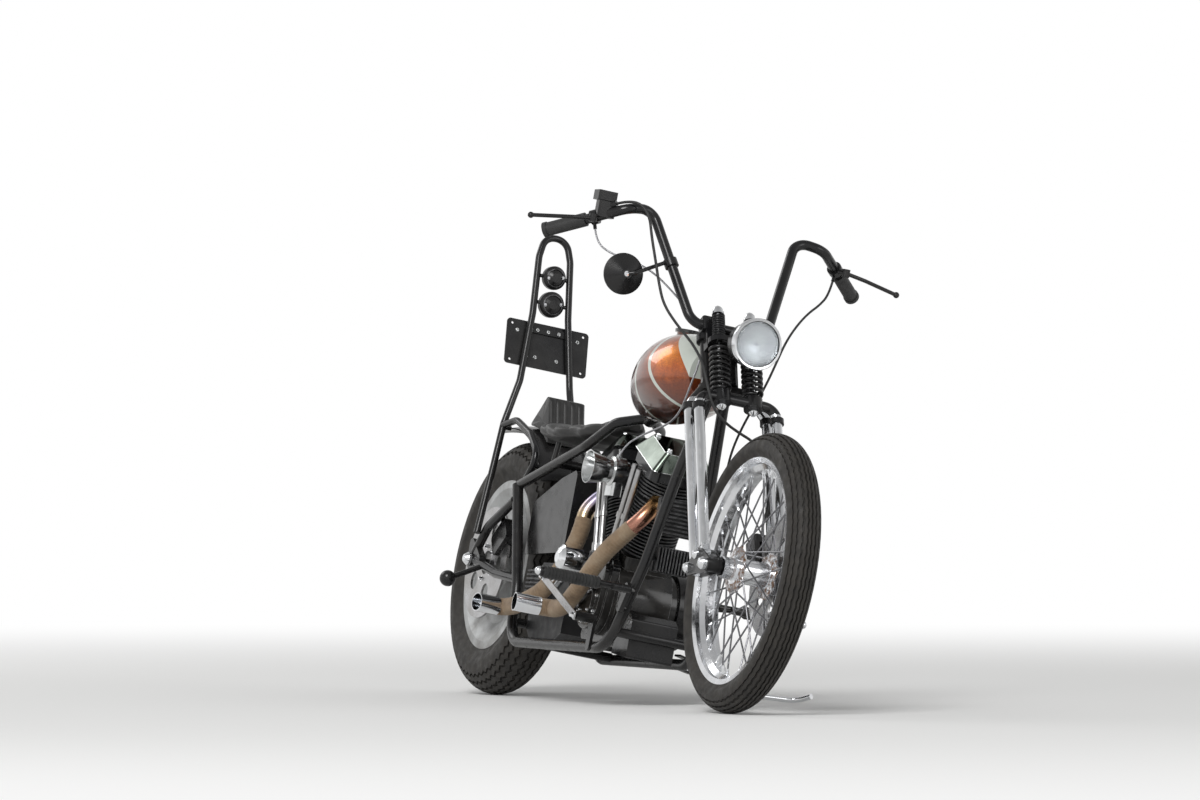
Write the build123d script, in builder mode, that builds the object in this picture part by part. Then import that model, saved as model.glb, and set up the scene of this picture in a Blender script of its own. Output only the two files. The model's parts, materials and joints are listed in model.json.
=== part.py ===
"""Chopper motorcycle with a springer fork, a finned V-twin and a solo seat.

Everything is modelled upright: X forward, Y to the rider's left, Z up, in millimetres,
with the origin on the ground under the rear axle. At the end every piece is leaned over
onto the side stand and moved so that the origin is under the middle of the machine.
"""
from build123d import *
from math import cos, pi, radians, sin, tan
import os

os.makedirs("parts", exist_ok=True)

# Stance
WHEELBASE = 1650
LEAN_ANGLE = 11.3
RAKE = 31
FORK_OFFSET = 97

# Clearances
PIN_PLAY = 0.1
SEAT_GAP = 0.3

# Wheels
REAR_TYRE_R = 331
REAR_TYRE_HALF = 66
REAR_BEAD_R = 214
REAR_BEAD_HALF = 48
FRONT_TYRE_R = 347
FRONT_TYRE_HALF = 43
FRONT_BEAD_R = 276
FRONT_BEAD_HALF = 30
AXLE_R = 9.5
TYRE_SHOULDER = 108
FLANGE_H = 8


def axle_height(tyre_r, crown_r):
    """Height of an axle, upright, whose round tyre crown touches the ground when leaned."""
    return tyre_r - crown_r + crown_r / cos(radians(LEAN_ANGLE))


REAR_AXLE = Vector(0, 0, axle_height(REAR_TYRE_R, REAR_TYRE_HALF))
FRONT_AXLE = Vector(WHEELBASE, 0, axle_height(FRONT_TYRE_R, FRONT_TYRE_HALF))

# Fork coordinates run ahead of the steering axis, to the left, and up along it from the axle
AHEAD = Vector(cos(radians(RAKE)), 0, sin(radians(RAKE)))
ALONG = Vector(-sin(radians(RAKE)), 0, cos(radians(RAKE)))
STEER_FOOT = FRONT_AXLE - AHEAD * FORK_OFFSET


def fork(ahead, left, along):
    """A point given in fork coordinates."""
    return STEER_FOOT + AHEAD * ahead + Vector(0, left, 0) + ALONG * along


def fork_plane(ahead, left, along):
    """A plane square to the steering axis, its x to the left."""
    return Plane(fork(ahead, left, along), x_dir=(0, 1, 0), z_dir=ALONG)


def side_plane(y):
    """A vertical plane along the machine, its x forward, its y up and its normal to the right."""
    return Plane(origin=(0, y, 0), x_dir=(1, 0, 0), z_dir=(0, -1, 0))


def across(point):
    """A plane at a point whose normal points to the left of the machine."""
    return Plane(origin=point, x_dir=(1, 0, 0), z_dir=(0, 1, 0))


def rod(start, end, radius, mode=Mode.ADD):
    """A round bar between two points, or the bore that it fits."""
    start = Vector(start)
    along = Vector(end) - start
    with BuildSketch(Plane(origin=start, z_dir=along)) as section:
        Circle(radius)
    extrude(section.sketch, amount=along.length, mode=mode)


def bend_radii(route, largest, share=0.48):
    """One radius for each corner of a route, as large as its shorter run allows."""
    points = [Vector(point) for point in route]
    radii = []
    for before, corner, after in zip(points, points[1:], points[2:]):
        turn = (corner - before).get_angle(after - corner)
        shorter = min((corner - before).length, (after - corner).length)
        radii.append(min(largest, share * shorter / tan(radians(turn / 2))))
    return radii


def tube(route, radius, largest_bend, mode=Mode.ADD):
    """A round tube of straight runs joined by arcs."""
    with BuildLine() as path:
        FilletPolyline(*route, radius=bend_radii(route, largest_bend))
    with BuildSketch(Plane(origin=path.line @ 0, z_dir=path.line % 0)) as section:
        Circle(radius)
    sweep(section.sketch, path=path.line, mode=mode)


def cable(name, route, radius):
    """A cable of straight runs joined by arcs as large as the runs allow."""
    radii = bend_radii(route, 1000, 0.45)
    print(name, "bend radii:", [round(bend) for bend in radii])
    with BuildLine() as path:
        FilletPolyline(*route, radius=radii)
    with BuildSketch(Plane(origin=path.line @ 0, z_dir=path.line % 0)) as section:
        Circle(radius)
    sweep(section.sketch, path=path.line)
    print(name, "length:", round(sum(edge.length for edge in path.line.edges())))


def turned(profile, plane):
    """Revolve a half section of points (radius, along) about the plane's normal."""
    with BuildSketch(Plane(origin=plane.origin, x_dir=plane.x_dir, z_dir=-plane.y_dir)) as section:
        with BuildLine():
            Polyline(*profile, close=True)
        make_face()
    revolve(section.sketch, axis=Axis(plane.origin, plane.z_dir))


def on_side(side, route):
    """A route given for the left side (side 1), or its mirror image (side -1)."""
    return [Vector(x, y * side, z) for x, y, z in route]


def at_height(points, z):
    """The point at a height on a line of points that climbs all the way."""
    places = [Vector(point) for point in points]
    for low, high in zip(places, places[1:]):
        if z <= high.Z:
            return low + (high - low) * ((z - low.Z) / (high.Z - low.Z))


def round_axle(radius, angle, y=0):
    """A point round the rear axle, its angle measured upwards from straight ahead."""
    return REAR_AXLE + Vector(radius * cos(radians(angle)), y, radius * sin(radians(angle)))


def slab(plane, circles, thickness, mode=Mode.ADD):
    """A plate along the machine whose outline wraps circles given as (x, z, radius)."""
    with BuildSketch(plane) as outline:
        for x, z, radius in circles:
            with Locations((x, z)):
                Circle(radius)
        make_hull()
    extrude(outline.sketch, amount=thickness, mode=mode)


SIDES = (1, -1)


def tyre(axle, tyre_r, half_width, bead_r, bead_half):
    """A solid tyre: round crown, flat sides and narrow beads between the rim flanges."""
    crown = tyre_r - half_width
    shoulder = radians(TYRE_SHOULDER)
    side_r = crown + half_width * cos(shoulder)
    side_y = half_width * sin(shoulder)
    bead_y = bead_half - SEAT_GAP
    with BuildSketch(Plane(origin=axle, x_dir=(1, 0, 0), z_dir=(0, 0, 1))) as section:
        with BuildLine():
            ThreePointArc((side_r, -side_y), (tyre_r, 0), (side_r, side_y))
            Polyline((side_r, side_y), (bead_r + FLANGE_H + 2, bead_y), (bead_r, bead_y), (bead_r, -bead_y),
                     (bead_r + FLANGE_H + 2, -bead_y), (side_r, -side_y))
        make_face()
    revolve(section.sketch, axis=Axis(axle, (0, 1, 0)))


# Rear tyre
with BuildPart() as rear_tyre:
    tyre(REAR_AXLE, REAR_TYRE_R, REAR_TYRE_HALF, REAR_BEAD_R, REAR_BEAD_HALF)
rear_tyre.part.label = "rear_tyre"

# Rear wheel: a solid disc, dished towards its hub, with the belt pulley on its left
REAR_HUB_HALF = 76
REAR_FLANGE = 4
PULLEY_R = 112
PULLEY_Y = 88
BELT_HALF = 10
with BuildPart() as rear_wheel_disc:
    turned([(AXLE_R + PIN_PLAY, -REAR_HUB_HALF), (34, -REAR_HUB_HALF), (38, -56), (60, -34), (150, -30),
            (176, -40), (REAR_BEAD_R - 12, -REAR_BEAD_HALF - REAR_FLANGE),
            (REAR_BEAD_R + FLANGE_H, -REAR_BEAD_HALF - REAR_FLANGE), (REAR_BEAD_R + FLANGE_H, -REAR_BEAD_HALF),
            (REAR_BEAD_R - SEAT_GAP, -REAR_BEAD_HALF), (REAR_BEAD_R - SEAT_GAP, REAR_BEAD_HALF),
            (REAR_BEAD_R + FLANGE_H, REAR_BEAD_HALF), (REAR_BEAD_R + FLANGE_H, REAR_BEAD_HALF + REAR_FLANGE),
            (REAR_BEAD_R - 12, REAR_BEAD_HALF + REAR_FLANGE), (176, 40), (150, 30), (60, 34), (44, 56),
            (PULLEY_R - 14, PULLEY_Y - BELT_HALF - 6), (PULLEY_R + 6, PULLEY_Y - BELT_HALF - 4),
            (PULLEY_R + 6, PULLEY_Y - BELT_HALF - 1), (PULLEY_R, PULLEY_Y - BELT_HALF - 1),
            (PULLEY_R, PULLEY_Y + BELT_HALF + 1), (PULLEY_R - 14, PULLEY_Y + BELT_HALF + 1),
            (PULLEY_R - 20, PULLEY_Y), (40, PULLEY_Y), (34, PULLEY_Y + 8), (AXLE_R + PIN_PLAY, PULLEY_Y + 8)],
           across(REAR_AXLE))
rear_wheel_disc.part.label = "rear_wheel_disc"

# Rear brake disc, bolted to the right end of the hub
REAR_ROTOR_R = 146
REAR_ROTOR_Y = -82
ROTOR_T = 6
with BuildPart() as rear_brake_disc:
    with BuildSketch(across(REAR_AXLE + Vector(0, REAR_ROTOR_Y, 0))):
        Circle(REAR_ROTOR_R)
        Circle(31, mode=Mode.SUBTRACT)
        with PolarLocations(82, 5):
            Circle(23, mode=Mode.SUBTRACT)
    extrude(amount=ROTOR_T)
rear_brake_disc.part.label = "rear_brake_disc"

# Front tyre
with BuildPart() as front_tyre:
    tyre(FRONT_AXLE, FRONT_TYRE_R, FRONT_TYRE_HALF, FRONT_BEAD_R, FRONT_BEAD_HALF)
front_tyre.part.label = "front_tyre"

# Front wheel: drop-centre rim, laced spokes and a hub with two flanges
SPOKE_PAIRS = 10
SPOKE_R = 2.2
HUB_FLANGE_R = 56
HUB_FLANGE_Y = 43
HUB_BARREL_R = 27
FRONT_HUB_HALF = 82
RIM_WELL_R = 256
with BuildPart() as front_wheel:
    turned([(RIM_WELL_R, -10), (FRONT_BEAD_R - 8, -20), (FRONT_BEAD_R - 8, -FRONT_BEAD_HALF - 1),
            (FRONT_BEAD_R + FLANGE_H - 2, -FRONT_BEAD_HALF - 4), (FRONT_BEAD_R + FLANGE_H, -FRONT_BEAD_HALF),
            (FRONT_BEAD_R - SEAT_GAP, -FRONT_BEAD_HALF), (FRONT_BEAD_R - SEAT_GAP, -24), (RIM_WELL_R + 4, -13),
            (RIM_WELL_R + 4, 13), (FRONT_BEAD_R - SEAT_GAP, 24), (FRONT_BEAD_R - SEAT_GAP, FRONT_BEAD_HALF),
            (FRONT_BEAD_R + FLANGE_H, FRONT_BEAD_HALF), (FRONT_BEAD_R + FLANGE_H - 2, FRONT_BEAD_HALF + 4),
            (FRONT_BEAD_R - 8, FRONT_BEAD_HALF + 1), (FRONT_BEAD_R - 8, 20), (RIM_WELL_R, 10)],
           across(FRONT_AXLE))
    turned([(AXLE_R + PIN_PLAY, -FRONT_HUB_HALF), (HUB_BARREL_R, -FRONT_HUB_HALF),
            (HUB_BARREL_R, -HUB_FLANGE_Y - 6), (HUB_FLANGE_R, -HUB_FLANGE_Y - 3),
            (HUB_FLANGE_R, -HUB_FLANGE_Y + 3), (HUB_BARREL_R + 4, -HUB_FLANGE_Y + 8),
            (HUB_BARREL_R + 4, HUB_FLANGE_Y - 8), (HUB_FLANGE_R, HUB_FLANGE_Y - 3),
            (HUB_FLANGE_R, HUB_FLANGE_Y + 3), (HUB_BARREL_R, HUB_FLANGE_Y + 6),
            (HUB_BARREL_R, 58), (22, 58), (22, FRONT_HUB_HALF), (AXLE_R + PIN_PLAY, FRONT_HUB_HALF)],
           across(FRONT_AXLE))
    for side in SIDES:
        for pair in range(SPOKE_PAIRS):
            for lean in SIDES:
                at_hub = 2 * pi * (pair + 0.25 * side + 0.12 * lean) / SPOKE_PAIRS
                at_rim = at_hub + lean * radians(46)
                hub_end = FRONT_AXLE + Vector((HUB_FLANGE_R - 5) * cos(at_hub), side * HUB_FLANGE_Y,
                                              (HUB_FLANGE_R - 5) * sin(at_hub))
                rim_end = FRONT_AXLE + Vector((RIM_WELL_R + 2) * cos(at_rim), side * 5,
                                              (RIM_WELL_R + 2) * sin(at_rim))
                rod(hub_end, rim_end, SPOKE_R)
front_wheel.part.label = "front_wheel"

# Front brake disc, on the left end of the hub
FRONT_ROTOR_R = 146
FRONT_ROTOR_Y = 58
with BuildPart() as front_brake_disc:
    with BuildSketch(across(FRONT_AXLE + Vector(0, FRONT_ROTOR_Y + SEAT_GAP, 0))):
        Circle(FRONT_ROTOR_R)
        Circle(22 + SEAT_GAP, mode=Mode.SUBTRACT)
        with PolarLocations(80, 5):
            Circle(24, mode=Mode.SUBTRACT)
    extrude(amount=ROTOR_T)
front_brake_disc.part.label = "front_brake_disc"

# Springer fork. The rear legs are rigid, the front legs ride on rockers at the axle
LEG_Y = 105
LEG_R = 13
REAR_LEG_R = 14
FRONT_LEG_AHEAD = 56
ROCKER_PIN_R = 7
EYE_R = 17
EYE_HALF = 11
LEG_LIFT = 26
PLATE_T = 7
REAR_PIN_ALONG = 44
FRONT_PIN_ALONG = 50
HEAD_LOW = 592
HEAD_HIGH = 700
HEAD_R = 27
STEM_R = 14
LOWER_CROWN_ALONG = 568
TOP_CLAMP_ALONG = 716
CROWN_T = 18
NECK_Y = 56
SPRING_Y = 43
SPRING_AHEAD = 53
PERCH_ALONG = 680
PERCH_T = 14
BOW_ALONG = 522
BOW_R = 12
SPRING_ROD_R = 6


def leg_eye(ahead, side, along):
    """The flat eye at the foot of a leg, which fits between the two plates of a rocker."""
    with BuildSketch(across(fork(ahead, side * LEG_Y - EYE_HALF, along))) as eye:
        Circle(EYE_R)
    extrude(eye.sketch, amount=2 * EYE_HALF)
    with BuildSketch(fork_plane(ahead, side * LEG_Y, along)) as neck:
        RectangleRounded(2 * EYE_HALF, 24, 3)
    extrude(neck.sketch, amount=LEG_LIFT + 6)


with BuildPart() as fork_rear_legs:
    for side in SIDES:
        tube([fork(0, side * LEG_Y, REAR_PIN_ALONG + LEG_LIFT), fork(0, side * LEG_Y, 520),
              fork(0, side * NECK_Y, 590), fork(0, side * NECK_Y, TOP_CLAMP_ALONG + CROWN_T)],
             REAR_LEG_R, 60)
        leg_eye(0, side, REAR_PIN_ALONG)
    # Lower crown below the head tube and clamp plate above it, joined by the stem
    for level in (LOWER_CROWN_ALONG, TOP_CLAMP_ALONG):
        with BuildSketch(fork_plane(0, 0, level)):
            SlotOverall(2 * NECK_Y + 44, 44)
        extrude(amount=CROWN_T)
    rod(fork(0, 0, LOWER_CROWN_ALONG), fork(0, 0, TOP_CLAMP_ALONG + CROWN_T), STEM_R)
    # Perch that the springs press on, carried by the clamp plate through two short arms
    with BuildSketch(fork_plane(SPRING_AHEAD, 0, PERCH_ALONG)):
        SlotOverall(2 * SPRING_Y + 56, 52)
    extrude(amount=PERCH_T)
    for side in SIDES:
        with BuildSketch(fork_plane(16, side * NECK_Y, PERCH_ALONG)):
            Rectangle(20, 36)
        extrude(amount=TOP_CLAMP_ALONG + CROWN_T - PERCH_ALONG)
        with Locations(fork_plane(SPRING_AHEAD, side * SPRING_Y, PERCH_ALONG + PERCH_T).location):
            Hole(SPRING_ROD_R + 1, 2 * PERCH_T)
        with Locations(across(fork(0, side * LEG_Y + EYE_HALF, REAR_PIN_ALONG)).location):
            Hole(ROCKER_PIN_R + PIN_PLAY, 3 * EYE_HALF)
fork_rear_legs.part.label = "fork_rear_legs"

# Front legs and the bow across their tops, which the springs stand on
with BuildPart() as fork_front_legs:
    leg_foot = FRONT_PIN_ALONG + LEG_LIFT
    tube([fork(FRONT_LEG_AHEAD, -LEG_Y, leg_foot), fork(FRONT_LEG_AHEAD, -LEG_Y, BOW_ALONG),
          fork(FRONT_LEG_AHEAD, LEG_Y, BOW_ALONG), fork(FRONT_LEG_AHEAD, LEG_Y, leg_foot)],
         LEG_R, 34)
    for side in SIDES:
        leg_eye(FRONT_LEG_AHEAD, side, FRONT_PIN_ALONG)
        with BuildSketch(fork_plane(SPRING_AHEAD, side * SPRING_Y, BOW_ALONG - 15)):
            Circle(24)
        extrude(amount=30)
        with Locations(fork_plane(SPRING_AHEAD, side * SPRING_Y, BOW_ALONG + 15).location):
            Hole(SPRING_ROD_R + PIN_PLAY, 40)
        with Locations(across(fork(FRONT_LEG_AHEAD, side * LEG_Y + EYE_HALF, FRONT_PIN_ALONG)).location):
            Hole(ROCKER_PIN_R + PIN_PLAY, 3 * EYE_HALF)
fork_front_legs.part.label = "fork_front_legs"

# Rockers, their pins and the front axle
ROCKER_BOSS_R = 18
AXLE_BOSS_R = 20
ROCKER_POINTS = [(0, REAR_PIN_ALONG, ROCKER_BOSS_R), (FRONT_LEG_AHEAD, FRONT_PIN_ALONG, ROCKER_BOSS_R),
                 (FORK_OFFSET, 0, AXLE_BOSS_R)]
PLATE_INNER = LEG_Y - EYE_HALF - SEAT_GAP - PLATE_T
PLATE_OUTER = LEG_Y + EYE_HALF + SEAT_GAP + PLATE_T
NUT_R = 13
with BuildPart() as fork_rockers:
    for plate_y in (PLATE_INNER, PLATE_OUTER - PLATE_T, -PLATE_INNER - PLATE_T, -PLATE_OUTER):
        with BuildSketch(across(STEER_FOOT + Vector(0, plate_y, 0))):
            for ahead, along, boss_r in ROCKER_POINTS:
                place = fork(ahead, 0, along) - STEER_FOOT
                with Locations((place.X, -place.Z)):
                    Circle(boss_r)
            make_hull()
        extrude(amount=PLATE_T)
    for side in SIDES:
        for ahead, along, boss_r in ROCKER_POINTS[:2]:
            rod(fork(ahead, side * PLATE_INNER, along), fork(ahead, side * PLATE_OUTER, along), ROCKER_PIN_R)
            turned([(0, 0), (NUT_R, 0), (NUT_R, 8), (8, 14), (0, 16)],
                   Plane(fork(ahead, side * PLATE_OUTER, along), x_dir=(1, 0, 0), z_dir=(0, side, 0)))
        rod(fork(FORK_OFFSET, side * PLATE_INNER, 0), fork(FORK_OFFSET, side * PLATE_OUTER, 0), AXLE_BOSS_R - 2)
        turned([(0, 0), (16, 0), (16, 10), (11, 18), (0, 21)],
               Plane(fork(FORK_OFFSET, side * PLATE_OUTER, 0), x_dir=(1, 0, 0), z_dir=(0, side, 0)))
    rod(fork(FORK_OFFSET, -PLATE_OUTER, 0), fork(FORK_OFFSET, PLATE_OUTER, 0), AXLE_R)
fork_rockers.part.label = "fork_rockers"

# Springs: a wide pair under the perch and a narrow pair above it, each on its own rod
# Columns: foot along the axis, head along the axis, coil radius, wire radius, coils
BOW_TOP = BOW_ALONG + 15
SPRING_TOP = 768
SPRINGS = [(BOW_TOP + SEAT_GAP, PERCH_ALONG - SEAT_GAP, 23, 4.5, 8),
           (PERCH_ALONG + PERCH_T + SEAT_GAP, SPRING_TOP, 14.5, 2.8, 9)]
with BuildPart() as fork_springs:
    for side in SIDES:
        rod(fork(SPRING_AHEAD, side * SPRING_Y, BOW_ALONG - 30), fork(SPRING_AHEAD, side * SPRING_Y, SPRING_TOP),
            SPRING_ROD_R)
        for foot, head, coil_r, wire_r, coils in SPRINGS:
            pitch = (head - foot) / coils
            profile = [(0, 0)]
            for coil in range(coils):
                profile += [(coil_r - wire_r, coil * pitch), (coil_r + wire_r, coil * pitch + 0.3 * pitch),
                            (coil_r + wire_r, coil * pitch + 0.7 * pitch), (coil_r - wire_r, (coil + 1) * pitch)]
            clean = [profile[0]] + [p for i, p in enumerate(profile[1:]) if i == 0 or p != profile[i]]
            turned(clean + [(0, head - foot)], fork_plane(SPRING_AHEAD, side * SPRING_Y, foot))
        turned([(0, 0), (15, 0), (15, 6), (9, 18), (0, 24)],
               fork_plane(SPRING_AHEAD, side * SPRING_Y, SPRING_TOP))
        turned([(0, 0), (12, 0), (12, -9), (7, -16), (0, -18)],
               fork_plane(SPRING_AHEAD, side * SPRING_Y, BOW_ALONG - 15 - SEAT_GAP))
fork_springs.part.label = "fork_springs"

# Handlebar: tall bars with a long pull-back, clamped in two risers on the top clamp
BAR_R = 12.7
BAR_AHEAD = 18
BAR_ALONG = 752
RISER_Y = 61
GRIP_INNER = Vector(981, 345, 1167)
GRIP_OUTER = Vector(912, 418, 1127)
GRIP_DIR = (GRIP_OUTER - GRIP_INNER).normalized()
BAR_CORNERS = [fork(BAR_AHEAD, 100, BAR_ALONG), fork(BAR_AHEAD, 196, 1066), GRIP_INNER - GRIP_DIR * 118]
with BuildPart() as handlebar:
    half = BAR_CORNERS + [GRIP_OUTER]
    route = [Vector(p.X, -p.Y, p.Z) for p in reversed(half)] + half
    tube(route, BAR_R, 44)
    for side in SIDES:
        with BuildSketch(fork_plane(BAR_AHEAD, side * RISER_Y, TOP_CLAMP_ALONG + CROWN_T)):
            RectangleRounded(26, 34, 6)
        extrude(amount=BAR_ALONG - TOP_CLAMP_ALONG - CROWN_T + 20)
handlebar.part.label = "handlebar"

# Grips, slid over the ends of the bar
GRIP_R = 17.5
with BuildPart() as grips:
    for side in SIDES:
        inner, outer = on_side(side, [tuple(GRIP_INNER), tuple(GRIP_OUTER)])
        direction = (outer - inner).normalized()
        rod(inner, outer + direction * 4, GRIP_R)
        rod(outer - direction * 4, outer + direction * 6, GRIP_R + 2)
        rod(inner - direction, outer + direction * PIN_PLAY, BAR_R + PIN_PLAY, Mode.SUBTRACT)
grips.part.label = "grips"

# Brake lever with its master cylinder on the right, clutch lever on the left
LEVER_CLAMP = tuple(GRIP_INNER - GRIP_DIR * 24)
LEVER_PIVOT = (1030, 346, 1170)
LEVER_TIP = (1006, 500, 1146)
HOSE_START = Vector(1032, -291, 1217)
HOSE_OUT = Vector(-GRIP_DIR.X, GRIP_DIR.Y, -GRIP_DIR.Z)

# Routes of the cables, each from its lever
BRAKE_HOSE_R = 3.5
HOSE_ROUTE = [tuple(HOSE_START), (1064, -257, 1235), (1098, -226, 1204), (1108, -212, 1146), (1134, -200, 1088),
              (1158, -190, 1034), (1186, -178, 982), (1232, -148, 934), (1284, -118, 893), (1334, -101, 845),
              (1366, -92, 792), (1386, -76, 742), (1392, -40, 712), (1378, 6, 696), (1366, 50, 684),
              tuple(fork(29, 80, 400)), tuple(fork(30, 85, 350)), tuple(fork(31, 84, 290)),
              tuple(fork(29, 83, 240)), tuple(fork(20, 70, 200)), tuple(fork(20, 70, 160))]
THROTTLE_R = 2.5
THROTTLE_ROUTE = [(1004, -325, 1146), (1014, -318, 1112), (1046, -286, 1090), (1084, -242, 1082),
                  (1112, -192, 1062), (1128, -142, 1026), (1138, -94, 986), (1150, -56, 944), (1166, -46, 898),
                  (1166, -52, 846), (1148, -56, 796), (1114, -52, 750), (1060, -46, 720), (994, -42, 704),
                  (932, -46, 692), (884, -62, 672), (850, -82, 646), (838, -89, 618)]
CLUTCH_R = 3
CLUTCH_ROUTE = [(1004, 325, 1146), (1016, 316, 1108), (1044, 286, 1076), (1084, 244, 1046), (1122, 204, 1004),
                (1152, 172, 956), (1172, 150, 900), (1184, 130, 842), (1180, 110, 784), (1166, 94, 726),
                (1152, 84, 666), (1142, 84, 606), (1134, 92, 546), (1120, 102, 492), (1102, 112, 442),
                (1070, 120, 402), (1028, 126, 376), (984, 127, 352), (946, 126, 327)]
LEVER_BALL_R = 8
# Columns: middle, bottom z, height, length and width
RESERVOIR = [((1014, -312), 1178, 40, (30, 46)), ((1007, -315), 1214, 8, (26, 34)),
             ((1007, -315), 1220, 24, (44, 50))]
with BuildPart() as hand_levers:
    for side in SIDES:
        clamp, pivot, tip = on_side(side, [LEVER_CLAMP, LEVER_PIVOT, LEVER_TIP])
        direction = on_side(side, [tuple(GRIP_DIR)])[0]
        rod(clamp - direction * 9, clamp + direction * 9, BAR_R + 6)
        rod(clamp, pivot, 8)
        knee = pivot + (tip - pivot) * 0.35 + Vector(10, 0, 0)
        rod(pivot, knee, 5)
        rod(knee, tip, 5)
        with Locations(tip, knee):
            Sphere(5.2)
        with Locations(tip):
            Sphere(LEVER_BALL_R)
        rod(pivot - Vector(0, 0, 10), pivot + Vector(0, 0, 10), 10)
    # Master cylinder, a short neck and the square reservoir on top
    for (x, y), foot_z, height, (length, width) in RESERVOIR:
        with BuildSketch(Plane(origin=(x, y, foot_z), z_dir=(0, 0, 1))):
            RectangleRounded(length, width, 5)
        extrude(amount=height)
    rod(HOSE_START - HOSE_OUT * 50, HOSE_START - HOSE_OUT * PIN_PLAY, 9)
    # Outlets of the throttle and clutch cables under the clamps
    for start, after in (THROTTLE_ROUTE[:2], CLUTCH_ROUTE[:2]):
        out = (Vector(after) - Vector(start)).normalized()
        rod(Vector(start) - out * 32, Vector(start) - out * PIN_PLAY, 4.5)
    for side in SIDES:
        inner, outer = on_side(side, [tuple(GRIP_INNER - GRIP_DIR * 100), tuple(GRIP_INNER)])
        rod(inner, outer, BAR_R + PIN_PLAY, Mode.SUBTRACT)
hand_levers.part.label = "hand_levers"

# Round mirror on a bent stem from the right upright of the bar
MIRROR_R = 52
MIRROR_CENTRE = Vector(1112, -272, 1042)
MIRROR_CLAMP_UP = 172
with BuildPart() as round_mirror:
    turned([(0, 0), (MIRROR_R - 3, 0), (MIRROR_R, 3), (MIRROR_R, 7), (14, 26), (10, 30), (0, 30)],
           Plane(MIRROR_CENTRE, x_dir=(0, 1, 0), z_dir=(1, 0, 0)))
    upright_foot, upright_head = on_side(-1, [tuple(BAR_CORNERS[0]), tuple(BAR_CORNERS[1])])
    rise = (upright_head - upright_foot).normalized()
    clamp = upright_foot + rise * MIRROR_CLAMP_UP
    tube([MIRROR_CENTRE + Vector(27, 0, 0), MIRROR_CENTRE + Vector(38, 20, 6), clamp + Vector(0, -14, 0),
          clamp], 5, 12)
    rod(clamp - rise * 10, clamp + rise * 10, BAR_R + 5)
    rod(clamp - rise * 60, clamp + rise * 60, BAR_R + PIN_PLAY, Mode.SUBTRACT)
round_mirror.part.label = "mirror"

# Headlight: a deep shell on a short arm from the spring perch, with a domed lens
LAMP_X = 1408
LAMP_Z = 917
LAMP_R = 61
LAMP_DEPTH = 110
LENS_R = 56
with BuildPart() as headlight:
    turned([(0, -LAMP_DEPTH), (16, -LAMP_DEPTH), (40, -LAMP_DEPTH + 14), (54, -LAMP_DEPTH + 46),
            (57, -14), (LAMP_R, -12), (LAMP_R, 0), (LENS_R, 3), (LENS_R, -8), (0, -22)],
           Plane(origin=(LAMP_X, 0, LAMP_Z), x_dir=(0, 1, 0), z_dir=(1, 0, 0)))
    arm_root = fork(SPRING_AHEAD + 26 + SEAT_GAP, 0, PERCH_ALONG + PERCH_T / 2)
    rod(arm_root, arm_root + AHEAD * 40, 7)
headlight.part.label = "headlight"

with BuildPart() as headlight_lens:
    turned([(0, -3), (LENS_R - SEAT_GAP, -3), (LENS_R - SEAT_GAP, 1), (LENS_R - 10, 6), (LENS_R - 28, 10), (0, 12)],
           Plane(origin=(LAMP_X, 0, LAMP_Z), x_dir=(0, 1, 0), z_dir=(1, 0, 0)))
headlight_lens.part.label = "headlight_lens"

# Front brake caliper, hung inside the left rear leg over the edge of the disc
DISC_GAP = 5
with BuildPart() as front_caliper:
    rotor_mid = FRONT_ROTOR_Y + SEAT_GAP + ROTOR_T / 2
    with BuildSketch(fork_plane(6, rotor_mid + 1, 84)):
        RectangleRounded(40, 62, 8)
    extrude(amount=76)
    with BuildSketch(across(FRONT_AXLE + Vector(0, rotor_mid - ROTOR_T / 2 - DISC_GAP, 0))):
        Circle(FRONT_ROTOR_R + DISC_GAP)
    extrude(amount=ROTOR_T + 2 * DISC_GAP, mode=Mode.SUBTRACT)
    for level in (100, 140):
        rod(fork(0, 80, level), fork(0, LEG_Y - REAR_LEG_R - SEAT_GAP, level), 7)
front_caliper.part.label = "front_caliper"

# Engine. Two cylinders at 45 degrees over one crankcase; forward lean is positive
CRANK = Vector(850, 0, 258)
CASE_R = 116
CASE_HALF = 72
PRIMARY_IN = 102
V_HALF_ANGLE = 22.5
DECK = 138
FIN_R = 70
BARREL_R = 54
FIN_T = 3
FIN_PITCH = 9
BARREL_FINS = 16
HEAD_FINS = 6
HEAD_FIN_R = 74
BARREL_TOP = DECK + 8 + BARREL_FINS * FIN_PITCH
HEAD_TOP = BARREL_TOP + 10 + HEAD_FINS * FIN_PITCH
ROCKER_H = 76
PUSHROD_Y = -84
PUSHROD_FOOT_Z = 372
TAPPET_FOOT_Z = 320


def bore_axis(lean):
    """Direction of the front (1) or rear (-1) cylinder."""
    return Vector(lean * sin(radians(V_HALF_ANGLE)), 0, cos(radians(V_HALF_ANGLE)))


def bore_plane(lean, distance):
    """A plane square to a cylinder, its x forward and its y to the left."""
    axis = bore_axis(lean)
    return Plane(CRANK + axis * distance, x_dir=(axis.Z, 0, -axis.X), z_dir=axis)


def ribs(foot, count, pitch, thickness, core_r, rib_r):
    """Half-section points of round fins on a core, from the foot upwards."""
    points = []
    for rib in range(count):
        low = foot + rib * pitch
        points += [(core_r, low), (rib_r, low), (rib_r, low + thickness), (core_r, low + thickness)]
    return points


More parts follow.
